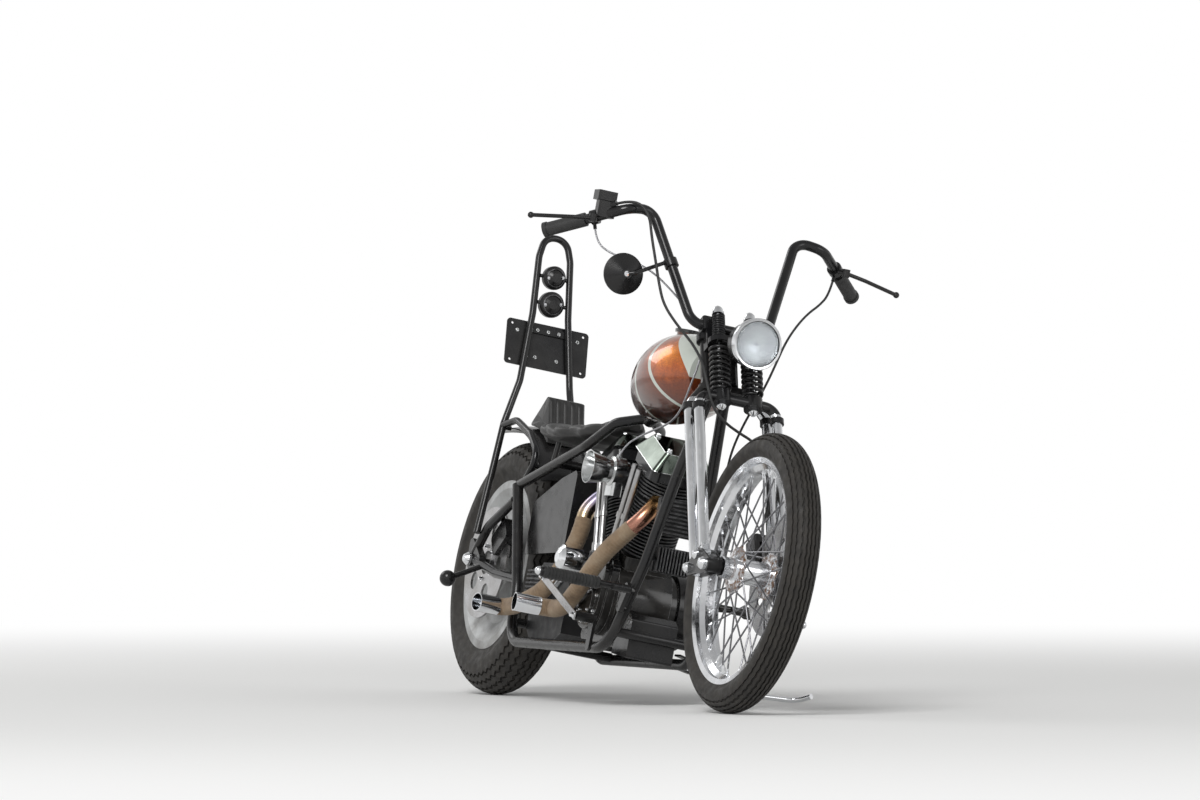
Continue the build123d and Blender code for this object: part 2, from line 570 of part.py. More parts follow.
with BuildPart() as engine_case:
    slab(side_plane(CASE_HALF), [(CRANK.X, CRANK.Z, CASE_R)], 2 * CASE_HALF)
    for lean in SIDES:
        with BuildSketch(bore_plane(lean, 60)):
            RectangleRounded(108, 2 * CASE_HALF - 10, 20)
        extrude(amount=DECK - 60 - SEAT_GAP)
    # Sump and engine mounts
    slab(side_plane(CASE_HALF - 6), [(CRANK.X - 96, 168, 16), (CRANK.X + 96, 168, 16)], 2 * CASE_HALF - 12)
    # Boss that carries the primary cover on the left
    slab(side_plane(PRIMARY_IN), [(CRANK.X, CRANK.Z, 88)], PRIMARY_IN - CASE_HALF)
    # Cam chest with its cover on the right
    slab(side_plane(-CASE_HALF), [(CRANK.X, CRANK.Z - 10, 84), (CRANK.X - 66, CRANK.Z + 66, 34),
                                  (CRANK.X + 66, CRANK.Z + 66, 34)], 20)
    slab(side_plane(-CASE_HALF - 20), [(CRANK.X, CRANK.Z - 10, 74), (CRANK.X - 62, CRANK.Z + 60, 26),
                                       (CRANK.X + 62, CRANK.Z + 60, 26)], 14)
    slab(side_plane(-CASE_HALF - 34), [(CRANK.X + 8, CRANK.Z - 12, 44)], 10)
    # Tappet blocks under the pushrod tubes
    for lean in SIDES:
        with BuildSketch(Plane(origin=(CRANK.X + lean * 48, PUSHROD_Y, TAPPET_FOOT_Z), z_dir=(0, 0, 1))):
            RectangleRounded(66, 26, 8)
        extrude(amount=PUSHROD_FOOT_Z - SEAT_GAP - TAPPET_FOOT_Z)
engine_case.part.label = "engine_case"

# Exhaust routes: both leave the heads, run down the right side and turn outwards at the tip
PIPE_R = 22
TIP_R = 23.5
TIP_WALL = 2
TIP_BORE_FOOT = 6
FRONT_PIPE = [(1012, -30, 514), (1044, -62, 478), (1008, -100, 418), (946, -130, 355), (872, -146, 262),
              (800, -142, 226), (746, -140, 215), (707, -146, 213), (704, -176, 213)]
REAR_PIPE = [(690, -50, 522), (668, -86, 490), (684, -94, 420), (642, -106, 335), (606, -132, 262),
             (516, -148, 226), (398, -150, 207), (405, -180, 207)]
# Columns: route of the pipe, length of its tip
EXHAUST_TIPS = [(FRONT_PIPE, 66), (REAR_PIPE, 61)]

with BuildPart() as cylinders:
    for lean in SIDES:
        profile = [(0, DECK), (BARREL_R, DECK)]
        profile += ribs(DECK + 8, BARREL_FINS, FIN_PITCH, FIN_T, BARREL_R, FIN_R)
        profile += ribs(BARREL_TOP + 8, HEAD_FINS, FIN_PITCH, FIN_T + 0.5, BARREL_R + 6, HEAD_FIN_R)
        profile += [(BARREL_R + 6, HEAD_TOP), (0, HEAD_TOP)]
        turned(profile, bore_plane(lean, 0))
    with BuildSketch(Plane(origin=(CRANK.X, 0, CRANK.Z), z_dir=(0, 0, 1))):
        Rectangle(6, 200)
    extrude(amount=400, mode=Mode.SUBTRACT)
    for port_route in (FRONT_PIPE, REAR_PIPE):
        tube(port_route[:3], PIPE_R + SEAT_GAP, 60, Mode.SUBTRACT)
cylinders.part.label = "cylinders"

# Rocker boxes: a skirt over the head and a faceted cover on it
ROCKER_HALF_X = 88
ROCKER_HALF_Y = 84
COVER_H = 46
with BuildPart() as rocker_boxes:
    for lean in SIDES:
        with BuildSketch(bore_plane(lean, HEAD_TOP + SEAT_GAP)):
            RectangleRounded(2 * ROCKER_HALF_X - 14, 2 * ROCKER_HALF_Y - 10, 22)
        extrude(amount=ROCKER_H - COVER_H)
        with BuildSketch(bore_plane(lean, HEAD_TOP + ROCKER_H - COVER_H)):
            RectangleRounded(2 * ROCKER_HALF_X, 2 * ROCKER_HALF_Y, 12)
        with BuildSketch(bore_plane(lean, HEAD_TOP + ROCKER_H)):
            RectangleRounded(2 * ROCKER_HALF_X - 44, 2 * ROCKER_HALF_Y - 56, 12)
        loft()
rocker_boxes.part.label = "rocker_boxes"

# Pushrod tubes: two for each cylinder, with a collar half-way
# Columns: lean of the cylinder, foot x from the crank, distance of the head end to each side of the bore
PUSHRODS = [(1, 30, 14), (1, 66, 52), (-1, -30, 14), (-1, -66, 52)]
with BuildPart() as pushrod_tubes:
    for lean, foot_x, offset in PUSHRODS:
        foot = Vector(CRANK.X + foot_x, PUSHROD_Y, PUSHROD_FOOT_Z)
        top = CRANK + bore_axis(lean) * (HEAD_TOP - 3) + bore_plane(lean, 0).x_dir * lean * (offset - 52)
        top = Vector(top.X, PUSHROD_Y, top.Z)
        rod(foot, top, 8)
        middle = foot + (top - foot) * 0.4
        rod(middle, middle + (top - foot).normalized() * 14, 10.5)
        rod(foot, foot + (top - foot).normalized() * 22, 11)
    with BuildSketch(Plane(origin=(CRANK.X, PUSHROD_Y, PUSHROD_FOOT_Z - 20), z_dir=(0, 0, 1))):
        Rectangle(220, 60)
    extrude(amount=20, mode=Mode.SUBTRACT)
pushrod_tubes.part.label = "pushrod_tubes"

# Carburettor between the cylinders with a polished air horn facing right
CARB = Vector(CRANK.X - 12, 0, 575)
HORN_Y = -166
HORN_R = 42
MANIFOLD_R = 17
THROTTLE_STUB = 13
BOWL_H = 36
with BuildPart() as carburettor:
    turned([(0, -10), (24, -10), (24, -60), (30, -62), (30, -70), (38, -74), (38, -104), (31, -108), (31, -118),
            (34, -128), (HORN_R, HORN_Y), (HORN_R - 2, HORN_Y), (31, -130), (24, -120), (24, -90), (0, -90)],
           across(CARB))
    with BuildSketch(Plane(origin=CARB + Vector(0, -88, -62), z_dir=(0, 0, 1))):
        RectangleRounded(52, 30, 8)
    extrude(amount=BOWL_H)
    end = Vector(THROTTLE_ROUTE[-1])
    rod(end + (end - Vector(THROTTLE_ROUTE[-2])).normalized() * THROTTLE_STUB, end, 5)
    # Manifold to both heads
    rod(CARB + Vector(-120, -30, -14), CARB + Vector(130, -30, -14), MANIFOLD_R)
    for lean in SIDES:
        rod(CRANK, CRANK + bore_axis(lean) * HEAD_TOP, HEAD_FIN_R + SEAT_GAP, Mode.SUBTRACT)
    for lean in SIDES:
        rod(CARB + Vector(lean * 110 - 3, -30, -14), CARB + Vector(lean * 200, -30, -14), 60, Mode.SUBTRACT)
carburettor.part.label = "carburettor"

# Primary drive cover on the left
GEARBOX_SHAFT = Vector(500, 0, 262)
PRIMARY_T = 48
with BuildPart() as primary_cover:
    slab(side_plane(PRIMARY_IN + SEAT_GAP + PRIMARY_T),
         [(CRANK.X, CRANK.Z, 98), (GEARBOX_SHAFT.X, GEARBOX_SHAFT.Z, 116)], PRIMARY_T)
    edge = primary_cover.faces().sort_by(Axis.Y)[-1].edges()
    fillet(edge, 16)
    slab(side_plane(PRIMARY_IN + SEAT_GAP + PRIMARY_T + 9), [(GEARBOX_SHAFT.X, GEARBOX_SHAFT.Z, 72)], 10)
    cable_end, before = Vector(CLUTCH_ROUTE[-1]), Vector(CLUTCH_ROUTE[-2])
    rod(cable_end - (before - cable_end).normalized() * 30, cable_end, 6)
primary_cover.part.label = "primary_cover"

# Gearbox with a finned side cover on the right
FRONT_PULLEY_R = 58
GEARBOX_REAR = 388
GEARBOX_FRONT = 640
GEARBOX_RIGHT = -84
GEARBOX_LEFT = 66
GEARBOX_LOW = 142
with BuildPart() as gearbox:
    with BuildSketch(side_plane(GEARBOX_LEFT)):
        with BuildLine():
            Polyline((GEARBOX_REAR, 170), (GEARBOX_REAR, 300), (430, 338), (600, 338), (GEARBOX_FRONT, 300),
                     (GEARBOX_FRONT, 160), (600, GEARBOX_LOW), (420, GEARBOX_LOW), close=True)
        make_face()
    extrude(amount=GEARBOX_LEFT - GEARBOX_RIGHT)
    with BuildSketch(side_plane(GEARBOX_RIGHT)):
        with Locations((458, 282)):
            RectangleRounded(120, 78, 14)
    extrude(amount=16)
    for rib in range(7):
        with BuildSketch(side_plane(GEARBOX_RIGHT - 14)):
            with Locations((458, 250 + rib * 10.5)):
                RectangleRounded(118, 4, 1.5)
        extrude(amount=14)
    rod(GEARBOX_SHAFT + Vector(0, GEARBOX_LEFT - 1, 0), GEARBOX_SHAFT + Vector(0, PULLEY_Y + BELT_HALF, 0),
        FRONT_PULLEY_R)
gearbox.part.label = "gearbox"

# Starter motor across the top of the gearbox
STARTER = Vector(713, 0, 344)
STARTER_R = 34
with BuildPart() as starter_motor:
    turned([(0, -158), (14, -158), (24, -154), (STARTER_R, -146), (STARTER_R, -96), (26, -92), (26, -72),
            (20, -68), (20, PRIMARY_IN), (0, PRIMARY_IN)], across(STARTER))
starter_motor.part.label = "starter_motor"

# Exhaust
with BuildPart() as exhaust_pipes:
    tube(FRONT_PIPE, PIPE_R, 60)
    tube(REAR_PIPE, PIPE_R, 60)
exhaust_pipes.part.label = "exhaust_pipes"

with BuildPart() as exhaust_tips:
    for pipe_route, length in EXHAUST_TIPS:
        elbow, start = Vector(pipe_route[-2]), Vector(pipe_route[-1])
        out = (start - elbow).normalized()
        rod(start, start + out * length, TIP_R)
        rod(start + out * TIP_BORE_FOOT, start + out * (length + 1), TIP_R - TIP_WALL, Mode.SUBTRACT)
exhaust_tips.part.label = "exhaust_tips"

# Solo seat, saddle shaped: narrow nose, wide rear
# Columns: x, half width, bottom z, top z
SEAT_SECTIONS = [(668, 26, 702, 722), (610, 52, 676, 716), (520, 92, 656, 702), (420, 122, 648, 694),
                 (335, 126, 652, 700), (288, 96, 664, 702)]
with BuildPart() as seat_pad:
    for x, half, low, high in SEAT_SECTIONS:
        with BuildSketch(Plane(origin=(x, 0, (low + high) / 2), x_dir=(0, 1, 0), z_dir=(1, 0, 0))):
            RectangleRounded(2 * half, high - low, (high - low) * 0.42)
    loft()
seat_pad.part.label = "seat_pad"

# Frame: head tube, backbone and seat rails, all black tube
FRAME_R = 14
RAIL_R = FRAME_R - 1
BACKBONE_R = 20
BACKBONE = [fork(-10, 0, 652), Vector(1000, 0, 788), Vector(766, 0, 726)]
SEAT_RAIL = [(772, 6, 728), (700, 62, 706), (600, 92, 640), (205, 106, 532)]
# One loop on each side: down behind the gearbox, forward under the engine and up to the head tube
CRADLE = [(205, 110, 532), (358, 116, 262), (378, 118, 126), (1078, 118, 126), (1122, 76, 350),
          (1150, 46, 575), tuple(fork(-12, 12, 652))]
CRADLE_BEND = 90
DOWN_TUBE = CRADLE[3:6]
CROSS_R = 12
# Columns: x, z, half width
REAR_CROSS = (430, 594, 96)
CROSS_TUBES = [(372, 178, 116), (1082, 170, 109), (520, GEARBOX_LOW - CROSS_R - SEAT_GAP, 108)]
# Columns: x, y and z at the rail, y and z inside the seat
SEAT_POSTS = [(600, 92, 640, 30, 692), (400, 99, 585, 90, 668)]


def clear_of_cradle():
    """Cut away what would touch the two loops."""
    for side in SIDES:
        tube(on_side(side, CRADLE), FRAME_R + SEAT_GAP, CRADLE_BEND, Mode.SUBTRACT)


with BuildPart() as frame:
    for side in SIDES:
        tube(on_side(side, SEAT_RAIL), RAIL_R, 60)
        # Posts under the seat
        for x, rail_y, rail_z, seat_y, seat_z in SEAT_POSTS:
            rod((x, side * rail_y, rail_z), (x, side * seat_y, seat_z), 7)
    cross_x, cross_z, cross_half = REAR_CROSS
    rod((cross_x, -cross_half, cross_z), (cross_x, cross_half, cross_z), CROSS_R)
    for side in SIDES:
        tube(on_side(side, CRADLE[:3]), FRAME_R + SEAT_GAP, CRADLE_BEND, Mode.SUBTRACT)
    rod(fork(0, 0, HEAD_LOW), fork(0, 0, HEAD_HIGH), HEAD_R)
    tube(BACKBONE, BACKBONE_R, 200)
    rod(fork(0, 0, HEAD_LOW - 1), fork(0, 0, HEAD_HIGH + 1), STEM_R + PIN_PLAY, Mode.SUBTRACT)
    add(seat_pad.part.moved(Location((0, 0, -SEAT_GAP))), mode=Mode.SUBTRACT)
frame.part.label = "frame"

# The two loops of the frame, the left one with the side stand's ears and pin
STAND_PIVOT = Vector(952, 150, 128)
STAND_AXIS = Vector(0, 0.2, 0.98).normalized()
STAND_BOSS_HALF = 12
STAND_PIN_R = 6
EAR_R = 14
EAR_T = 5
EAR_ROOT = (40, 6)
with BuildPart() as frame_loops:
    for side in SIDES:
        tube(on_side(side, CRADLE), FRAME_R, CRADLE_BEND)
    rod(fork(0, 0, HEAD_LOW - 1), fork(0, 0, HEAD_HIGH + 1), HEAD_R + SEAT_GAP, Mode.SUBTRACT)
    tube(BACKBONE, BACKBONE_R + SEAT_GAP, 200, Mode.SUBTRACT)
    for level in (STAND_BOSS_HALF + SEAT_GAP, -STAND_BOSS_HALF - SEAT_GAP - EAR_T):
        with BuildSketch(Plane(STAND_PIVOT + STAND_AXIS * level, x_dir=(1, 0, 0), z_dir=STAND_AXIS)):
            Circle(EAR_R)
            with Locations((0, CRADLE[3][1] - STAND_PIVOT.Y)):
                Rectangle(*EAR_ROOT)
            make_hull()
        extrude(amount=EAR_T)
    rod(STAND_PIVOT - STAND_AXIS * (STAND_BOSS_HALF + 4), STAND_PIVOT + STAND_AXIS * (STAND_BOSS_HALF + 4),
        STAND_PIN_R)
frame_loops.part.label = "frame_loops"

# Cross tubes between the lower rails, the left half first
with BuildPart() as frame_cross_tubes:
    for x, z, half in CROSS_TUBES:
        rod((x, 0, z), (x, half, z), CROSS_R)
    tube(CRADLE, FRAME_R + SEAT_GAP, CRADLE_BEND, Mode.SUBTRACT)
    mirror(about=Plane.XZ)
frame_cross_tubes.part.label = "frame_cross_tubes"

# Rear arms, their pivot tube and the axle they clamp
ARM_R = 12
ARM_Y = 116
DROPOUT_T = 18
LOWER_ARM = [(335, ARM_Y, 288), (180, ARM_Y, 300), (0, ARM_Y, REAR_AXLE.Z)]
UPPER_ARM = [(222, ARM_Y, 492), (60, ARM_Y, 420), (0, ARM_Y, REAR_AXLE.Z + 20)]
with BuildPart() as swingarm:
    for side in SIDES:
        tube(on_side(side, LOWER_ARM), ARM_R, 60)
        tube(on_side(side, UPPER_ARM), ARM_R, 60)
        # Plate that clamps the axle
        slab(side_plane(side * ARM_Y + DROPOUT_T / 2),
             [(0, REAR_AXLE.Z, 26), (-16, REAR_AXLE.Z + 42, 14), (46, REAR_AXLE.Z, 16)], DROPOUT_T)
        turned([(0, 0), (17, 0), (17, 10), (10, 20), (0, 22)],
               Plane(REAR_AXLE + Vector(0, side * (ARM_Y + DROPOUT_T / 2), 0), x_dir=(1, 0, 0),
                     z_dir=(0, side, 0)))
    clear_of_cradle()
    rod(REAR_AXLE - Vector(0, ARM_Y + 4, 0), REAR_AXLE + Vector(0, ARM_Y + 4, 0), AXLE_R)
swingarm.part.label = "swingarm"

# Fuel tank: an egg-like shell over the backbone
# Columns: x, half width, bottom z, top z
TANK_SECTIONS = [(742, 30, 735, 800), (790, 72, 722, 868), (880, 108, 716, 928), (980, 116, 722, 944),
                 (1070, 96, 742, 932), (1130, 56, 776, 900)]
with BuildPart() as fuel_tank:
    for x, half, low, high in TANK_SECTIONS:
        with BuildSketch(Plane(origin=(x, 0, (low + high) / 2), x_dir=(0, 1, 0), z_dir=(1, 0, 0))):
            Ellipse(half, (high - low) / 2)
    loft()
    # Tunnel over the backbone
    tunnel_half = BACKBONE_R + SEAT_GAP
    tube(BACKBONE, tunnel_half, 200, Mode.SUBTRACT)
    with BuildSketch(side_plane(tunnel_half)):
        with BuildLine():
            Polyline((BACKBONE[2].X, 600), (BACKBONE[2].X, BACKBONE[2].Z), (BACKBONE[1].X, BACKBONE[1].Z),
                     (BACKBONE[0].X, BACKBONE[0].Z), (BACKBONE[0].X, 600), close=True)
        make_face()
    extrude(amount=2 * tunnel_half, mode=Mode.SUBTRACT)
    rod(BACKBONE[2] - Vector(60, 0, 16), BACKBONE[2], tunnel_half, Mode.SUBTRACT)
    for side in SIDES:
        tube(on_side(side, SEAT_RAIL), RAIL_R + SEAT_GAP, 60, Mode.SUBTRACT)
    # Flat filler cap on a short neck
    rod((930, 0, 930), (930, 0, 947), 30)
    rod((930, 0, 946), (930, 0, 954), 36)
fuel_tank.part.label = "fuel_tank"

# Wedge back pad on the fender
PAD_HALF = 50
FENDER_R = 352
FENDER_CROWN = 16
FENDER_HALF = 78
FENDER_T = 3
FENDER_FRONT = 38
FENDER_REAR = 106
FENDER_TOP = REAR_AXLE.Z + FENDER_R
with BuildPart() as back_pad:
    with BuildSketch(Plane(origin=(0, PAD_HALF, FENDER_TOP), x_dir=(1, 0, 0), z_dir=(0, -1, 0))):
        with BuildLine():
            FilletPolyline((52, 6), (192, -34), (192, 8), (150, 94), (136, 96), (52, 26), radius=5, close=True)
        make_face()
    extrude(amount=2 * PAD_HALF)
    with BuildSketch(Plane(origin=REAR_AXLE, x_dir=(1, 0, 0), z_dir=(0, 0, 1))) as under:
        with BuildLine():
            crown = ThreePointArc((FENDER_R + FENDER_T + SEAT_GAP, -FENDER_HALF),
                                  (FENDER_R + FENDER_CROWN + FENDER_T + SEAT_GAP, 0),
                                  (FENDER_R + FENDER_T + SEAT_GAP, FENDER_HALF))
            Polyline(crown @ 1, (300, FENDER_HALF), (300, -FENDER_HALF), crown @ 0)
        make_face()
    revolve(under.sketch, axis=Axis(REAR_AXLE, (0, 1, 0)), mode=Mode.SUBTRACT)
back_pad.part.label = "back_pad"

# Rear fender: a crowned band around the tyre, from low in front to just behind the top
with BuildPart() as rear_fender:
    with BuildSketch(Plane(origin=REAR_AXLE, x_dir=(1, 0, 0), z_dir=(0, 0, 1))) as band:
        with BuildLine():
            ThreePointArc((FENDER_R, -FENDER_HALF), (FENDER_R + FENDER_CROWN, 0), (FENDER_R, FENDER_HALF))
            Line((FENDER_R, FENDER_HALF), (FENDER_R + FENDER_T, FENDER_HALF))
            ThreePointArc((FENDER_R + FENDER_T, FENDER_HALF), (FENDER_R + FENDER_CROWN + FENDER_T, 0),
                          (FENDER_R + FENDER_T, -FENDER_HALF))
            Line((FENDER_R + FENDER_T, -FENDER_HALF), (FENDER_R, -FENDER_HALF))
        make_face()
    revolve(band.sketch.rotate(Axis(REAR_AXLE, (0, 1, 0)), -FENDER_FRONT), axis=Axis(REAR_AXLE, (0, 1, 0)),
            revolution_arc=-(FENDER_REAR - FENDER_FRONT))
rear_fender.part.label = "rear_fender"

# Sissy bar: a tall narrow loop, with a curved strut along each side of the fender
SISSY_R = 9
SISSY_HALF = [(42, ARM_Y + ARM_R + SISSY_R + SEAT_GAP, 400), (-3, 110, 584), (-20, 98, 695), (-36, 70, 815),
              (-90, 50, 997), (-138, 44, 1150), (-155, 30, 1205)]
STRUT_HALF = [Vector(214, 98, 542), round_axle(FENDER_R + 31, 47, 90), round_axle(FENDER_R + 28, 63, 90),
              round_axle(FENDER_R + 26, 81, 92), at_height(SISSY_HALF, FENDER_TOP + 6)]
# Columns: angle round the rear axle, y at the strut or upright
FENDER_STAYS = [(46, 92), (92, 99)]
with BuildPart() as sissy_bar:
    tube(SISSY_HALF + [(x, -y, z) for x, y, z in reversed(SISSY_HALF)], SISSY_R, 70)
    for side in SIDES:
        tube(on_side(side, STRUT_HALF), SISSY_R, 60)
        # Stays that hold the edge of the fender
        for angle, outer in FENDER_STAYS:
            edge = round_axle(FENDER_R + FENDER_T / 2, angle)
            rod((edge.X, side * outer, edge.Z), (edge.X, side * (FENDER_HALF + SEAT_GAP), edge.Z), 6)
        tube(on_side(side, SEAT_RAIL), RAIL_R + SEAT_GAP, 60, Mode.SUBTRACT)
        tube(on_side(side, CRADLE[:3]), FRAME_R + SEAT_GAP, CRADLE_BEND, Mode.SUBTRACT)
sissy_bar.part.label = "sissy_bar"

# Blank number-plate bracket with slotted corners, on the sissy bar
PLATE_HALF = 115
PLATE_LOW = Vector(-57.6, 0, 855)
PLATE_H = 124
PLATE_LEAN = 16.5
PLATE_SHEET = 3
PLATE_HOLE_R = 3.3
with BuildPart() as plate_bracket:
    with BuildSketch(Plane(origin=PLATE_LOW, x_dir=(0, 1, 0),
                           z_dir=(cos(radians(PLATE_LEAN)), 0, sin(radians(PLATE_LEAN))))):
        with Locations((0, PLATE_H / 2)):
            RectangleRounded(2 * PLATE_HALF, PLATE_H, 10)
            with GridLocations(200, 100, 2, 2):
                Circle(PLATE_HOLE_R, mode=Mode.SUBTRACT)
    extrude(amount=-PLATE_SHEET)
plate_bracket.part.label = "plate_bracket"

# Two round tail lamps between the uprights of the sissy bar, each on a cross bar
# Columns: x, z, radius
TAIL_LAMPS = [(-112, 1100, 31), (-96, 1029, 34)]
with BuildPart() as tail_lamps:
    for x, z, lamp_r in TAIL_LAMPS:
        turned([(0, 14), (12, 14), (lamp_r - 6, 6), (lamp_r, 0), (lamp_r, -14), (lamp_r - 8, -22), (0, -26)],
               Plane(origin=(x, 0, z), x_dir=(0, 1, 0), z_dir=(1, 0, 0)))
        upright = at_height(SISSY_HALF, z)
        reach = upright.Y - SISSY_R - SEAT_GAP
        rod((upright.X, -reach, z), (upright.X, reach, z), 5)
tail_lamps.part.label = "tail_lamps"

# Oil tank, wrapped round the front of the rear tyre
OIL_RIGHT = -92
OIL_LEFT = 74
with BuildPart() as oil_tank:
    with BuildSketch(side_plane(OIL_LEFT)):
        with BuildLine():
            FilletPolyline((296, 356), (574, 366), (574, 580), (470, 556), (296, 492), radius=16, close=True)
        make_face()
    extrude(amount=OIL_LEFT - OIL_RIGHT)
    with BuildSketch(across(REAR_AXLE - Vector(0, FENDER_HALF + 2, 0))):
        Circle(FENDER_R + FENDER_CROWN + FENDER_T + 6)
    extrude(amount=200, mode=Mode.SUBTRACT)
    # Studs up to the cross tube
    for side in SIDES:
        rod((cross_x, side * 50, 520), (cross_x, side * 50, cross_z - CROSS_R - SEAT_GAP), 8)
oil_tank.part.label = "oil_tank"

# Oil cooler with flat fins, between the down tubes
LUG_R = 7
FIN_SHEET = 3


def lugs_to_down_tubes(x, y, z):
    """Round lugs from a cooler to both down tubes."""
    tube_at = at_height(DOWN_TUBE, z)
    for side in SIDES:
        rod((x, side * y, z), (tube_at.X, side * tube_at.Y, z), LUG_R)
    clear_of_cradle()


COOLER = Vector(1074, 0, 476)
COOLER_T = 18
COOLER_FINS = 9
with BuildPart() as oil_cooler:
    with BuildSketch(Plane(origin=COOLER, x_dir=(0, 1, 0), z_dir=(1, 0, 0))):
        RectangleRounded(108, 92, 6)
    extrude(amount=COOLER_T)
    with BuildSketch(Plane(origin=COOLER + Vector(COOLER_T, 0, 0), x_dir=(0, 1, 0), z_dir=(1, 0, 0))):
        with GridLocations(1, 10, 1, COOLER_FINS):
            Rectangle(104, FIN_SHEET)
    extrude(amount=10)
    lugs_to_down_tubes(COOLER.X + 12, 50, COOLER.Z)
oil_cooler.part.label = "oil_cooler"

# Voltage regulator with upright fins, below the cooler
REGULATOR = Vector(1084, 0, 367)
REGULATOR_T = 14
REGULATOR_FINS = 11
with BuildPart() as regulator:
    with BuildSketch(Plane(origin=REGULATOR, x_dir=(0, 1, 0), z_dir=(1, 0, 0))):
        RectangleRounded(96, 66, 4)
    extrude(amount=REGULATOR_T)
    with BuildSketch(Plane(origin=REGULATOR + Vector(REGULATOR_T, 0, 0), x_dir=(0, 1, 0), z_dir=(1, 0, 0))):
        with GridLocations(8.4, 1, REGULATOR_FINS, 1):
            Rectangle(FIN_SHEET, 60)
    extrude(amount=18)
    lugs_to_down_tubes(REGULATOR.X + 6, 42, REGULATOR.Z)
regulator.part.label = "regulator"

# Front engine mount box between the lower rails
MOUNT_FRONT = CROSS_TUBES[1][0] - CROSS_R - SEAT_GAP
MOUNT_HALF = 62
with BuildPart() as front_mount:
    with BuildSketch(side_plane(MOUNT_HALF)):
        with BuildLine():
            FilletPolyline((962, 122), (MOUNT_FRONT, 112), (MOUNT_FRONT, 210), (1044, 226), (990, 226),
                           radius=6, close=True)
        make_face()
    extrude(amount=2 * MOUNT_HALF)
    slab(side_plane(MOUNT_HALF + 1), [(CRANK.X, CRANK.Z, CASE_R + SEAT_GAP)], 2 * MOUNT_HALF + 2, Mode.SUBTRACT)
front_mount.part.label = "front_mount"

# Forward foot controls: pegs, brake pedal on the right, shift lever on the left
PEG_X = 1145
PEG_Z = 277
PEG_R = 14
PEG_INNER = 196
PEG_OUTER = 350
CONTROL_Y = 118
# Columns: x, z of the two bolts that hold a peg's plate to the down tube
CONTROL_BOLTS = [(PEG_X, PEG_Z), (1118, 230)]
# Pivot of the strip that holds the exhaust, on a tab from the right lower rail
STRIP_PIVOT = Vector(982, -180, 195)
TAB_Y = -128
with BuildPart() as foot_controls:
    for side in SIDES:
        rod((PEG_X, side * 112, PEG_Z), (PEG_X, side * (PEG_INNER + 4), PEG_Z), 9)
        rod((PEG_X, side * PEG_INNER, PEG_Z), (PEG_X, side * PEG_OUTER, PEG_Z), PEG_R)
        rod((PEG_X, side * (PEG_OUTER - 1), PEG_Z), (PEG_X, side * (PEG_OUTER + 6), PEG_Z), PEG_R - 2)
        slab(side_plane(side * CONTROL_Y + 6), [(PEG_X, PEG_Z, 15), (*CONTROL_BOLTS[1], 12)], 12)
        # Pedal or lever in front of the peg
        rod((PEG_X + 4, side * 128, PEG_Z - 6), (PEG_X + 66, side * 146, PEG_Z - 4), 6)
        rod((PEG_X + 66, side * 138, PEG_Z - 4), (PEG_X + 66, side * 184, PEG_Z - 4), 10)
        for x, z in CONTROL_BOLTS:
            tube_at = at_height(DOWN_TUBE, z)
            rod((x, side * CONTROL_Y, z), (tube_at.X, side * tube_at.Y, z), 10)
    slab(side_plane(TAB_Y), [(STRIP_PIVOT.X, STRIP_PIVOT.Z, 16), (STRIP_PIVOT.X, CRADLE[3][2], 12)], 8)
    rod(Vector(STRIP_PIVOT.X, TAB_Y, STRIP_PIVOT.Z), STRIP_PIVOT, 12)
    clear_of_cradle()
foot_controls.part.label = "foot_controls"

# Rear brake caliper over the disc, on a bracket from the right arm
with BuildPart() as rear_caliper:
    with BuildSketch(side_plane(-58)):
        with Locations(Location((112, 398), 38)):
            RectangleRounded(92, 62, 10)
    extrude(amount=44)
    with BuildSketch(across(REAR_AXLE + Vector(0, REAR_ROTOR_Y - DISC_GAP, 0))):
        Circle(REAR_ROTOR_R + DISC_GAP)
    extrude(amount=ROTOR_T + 2 * DISC_GAP, mode=Mode.SUBTRACT)
    slab(side_plane(-100), [(120, 444, 10)], ARM_Y - ARM_R - SEAT_GAP - 100)
rear_caliper.part.label = "rear_caliper"

# Ball-shaped turn signals on short stems
with BuildPart() as turn_signals:
    for side in SIDES:
        with Locations((78, side * 206, 268)):
            Sphere(21)
        rod((78, side * ARM_Y, 318), (78, side * 198, 272), 7)
        tube(on_side(side, LOWER_ARM), ARM_R + SEAT_GAP, 60, Mode.SUBTRACT)
turn_signals.part.label = "turn_signals"

# Drive belt from the gearbox pulley to the rear wheel
BELT_T = 5
with BuildPart() as drive_belt:
    for grow, mode in ((BELT_T, Mode.ADD), (0, Mode.SUBTRACT)):
        slab(side_plane(PULLEY_Y + BELT_HALF),
             [(REAR_AXLE.X, REAR_AXLE.Z, PULLEY_R + 1 + grow),
              (GEARBOX_SHAFT.X, GEARBOX_SHAFT.Z, FRONT_PULLEY_R + SEAT_GAP + grow)], 2 * BELT_HALF, mode)
drive_belt.part.label = "drive_belt"

# Side stand: a bent rod that swings out from the left lower rail
STAND_R = 7
with BuildPart() as side_stand:
    rod(STAND_PIVOT - STAND_AXIS * STAND_BOSS_HALF, STAND_PIVOT + STAND_AXIS * STAND_BOSS_HALF, 15)
    ground = tan(radians(LEAN_ANGLE))
    knee = Vector(975, 330, 330 * ground + 22)
    foot = Vector(985, 440, 440 * ground + STAND_R / cos(radians(LEAN_ANGLE)))
    tip = Vector(1030, 462, 462 * ground + STAND_R / cos(radians(LEAN_ANGLE)) + 12)
    tube([STAND_PIVOT, knee, foot, tip], STAND_R, 50)
    rod(STAND_PIVOT - STAND_AXIS * 20, STAND_PIVOT + STAND_AXIS * 20, STAND_PIN_R + PIN_PLAY, Mode.SUBTRACT)
side_stand.part.label = "side_stand"

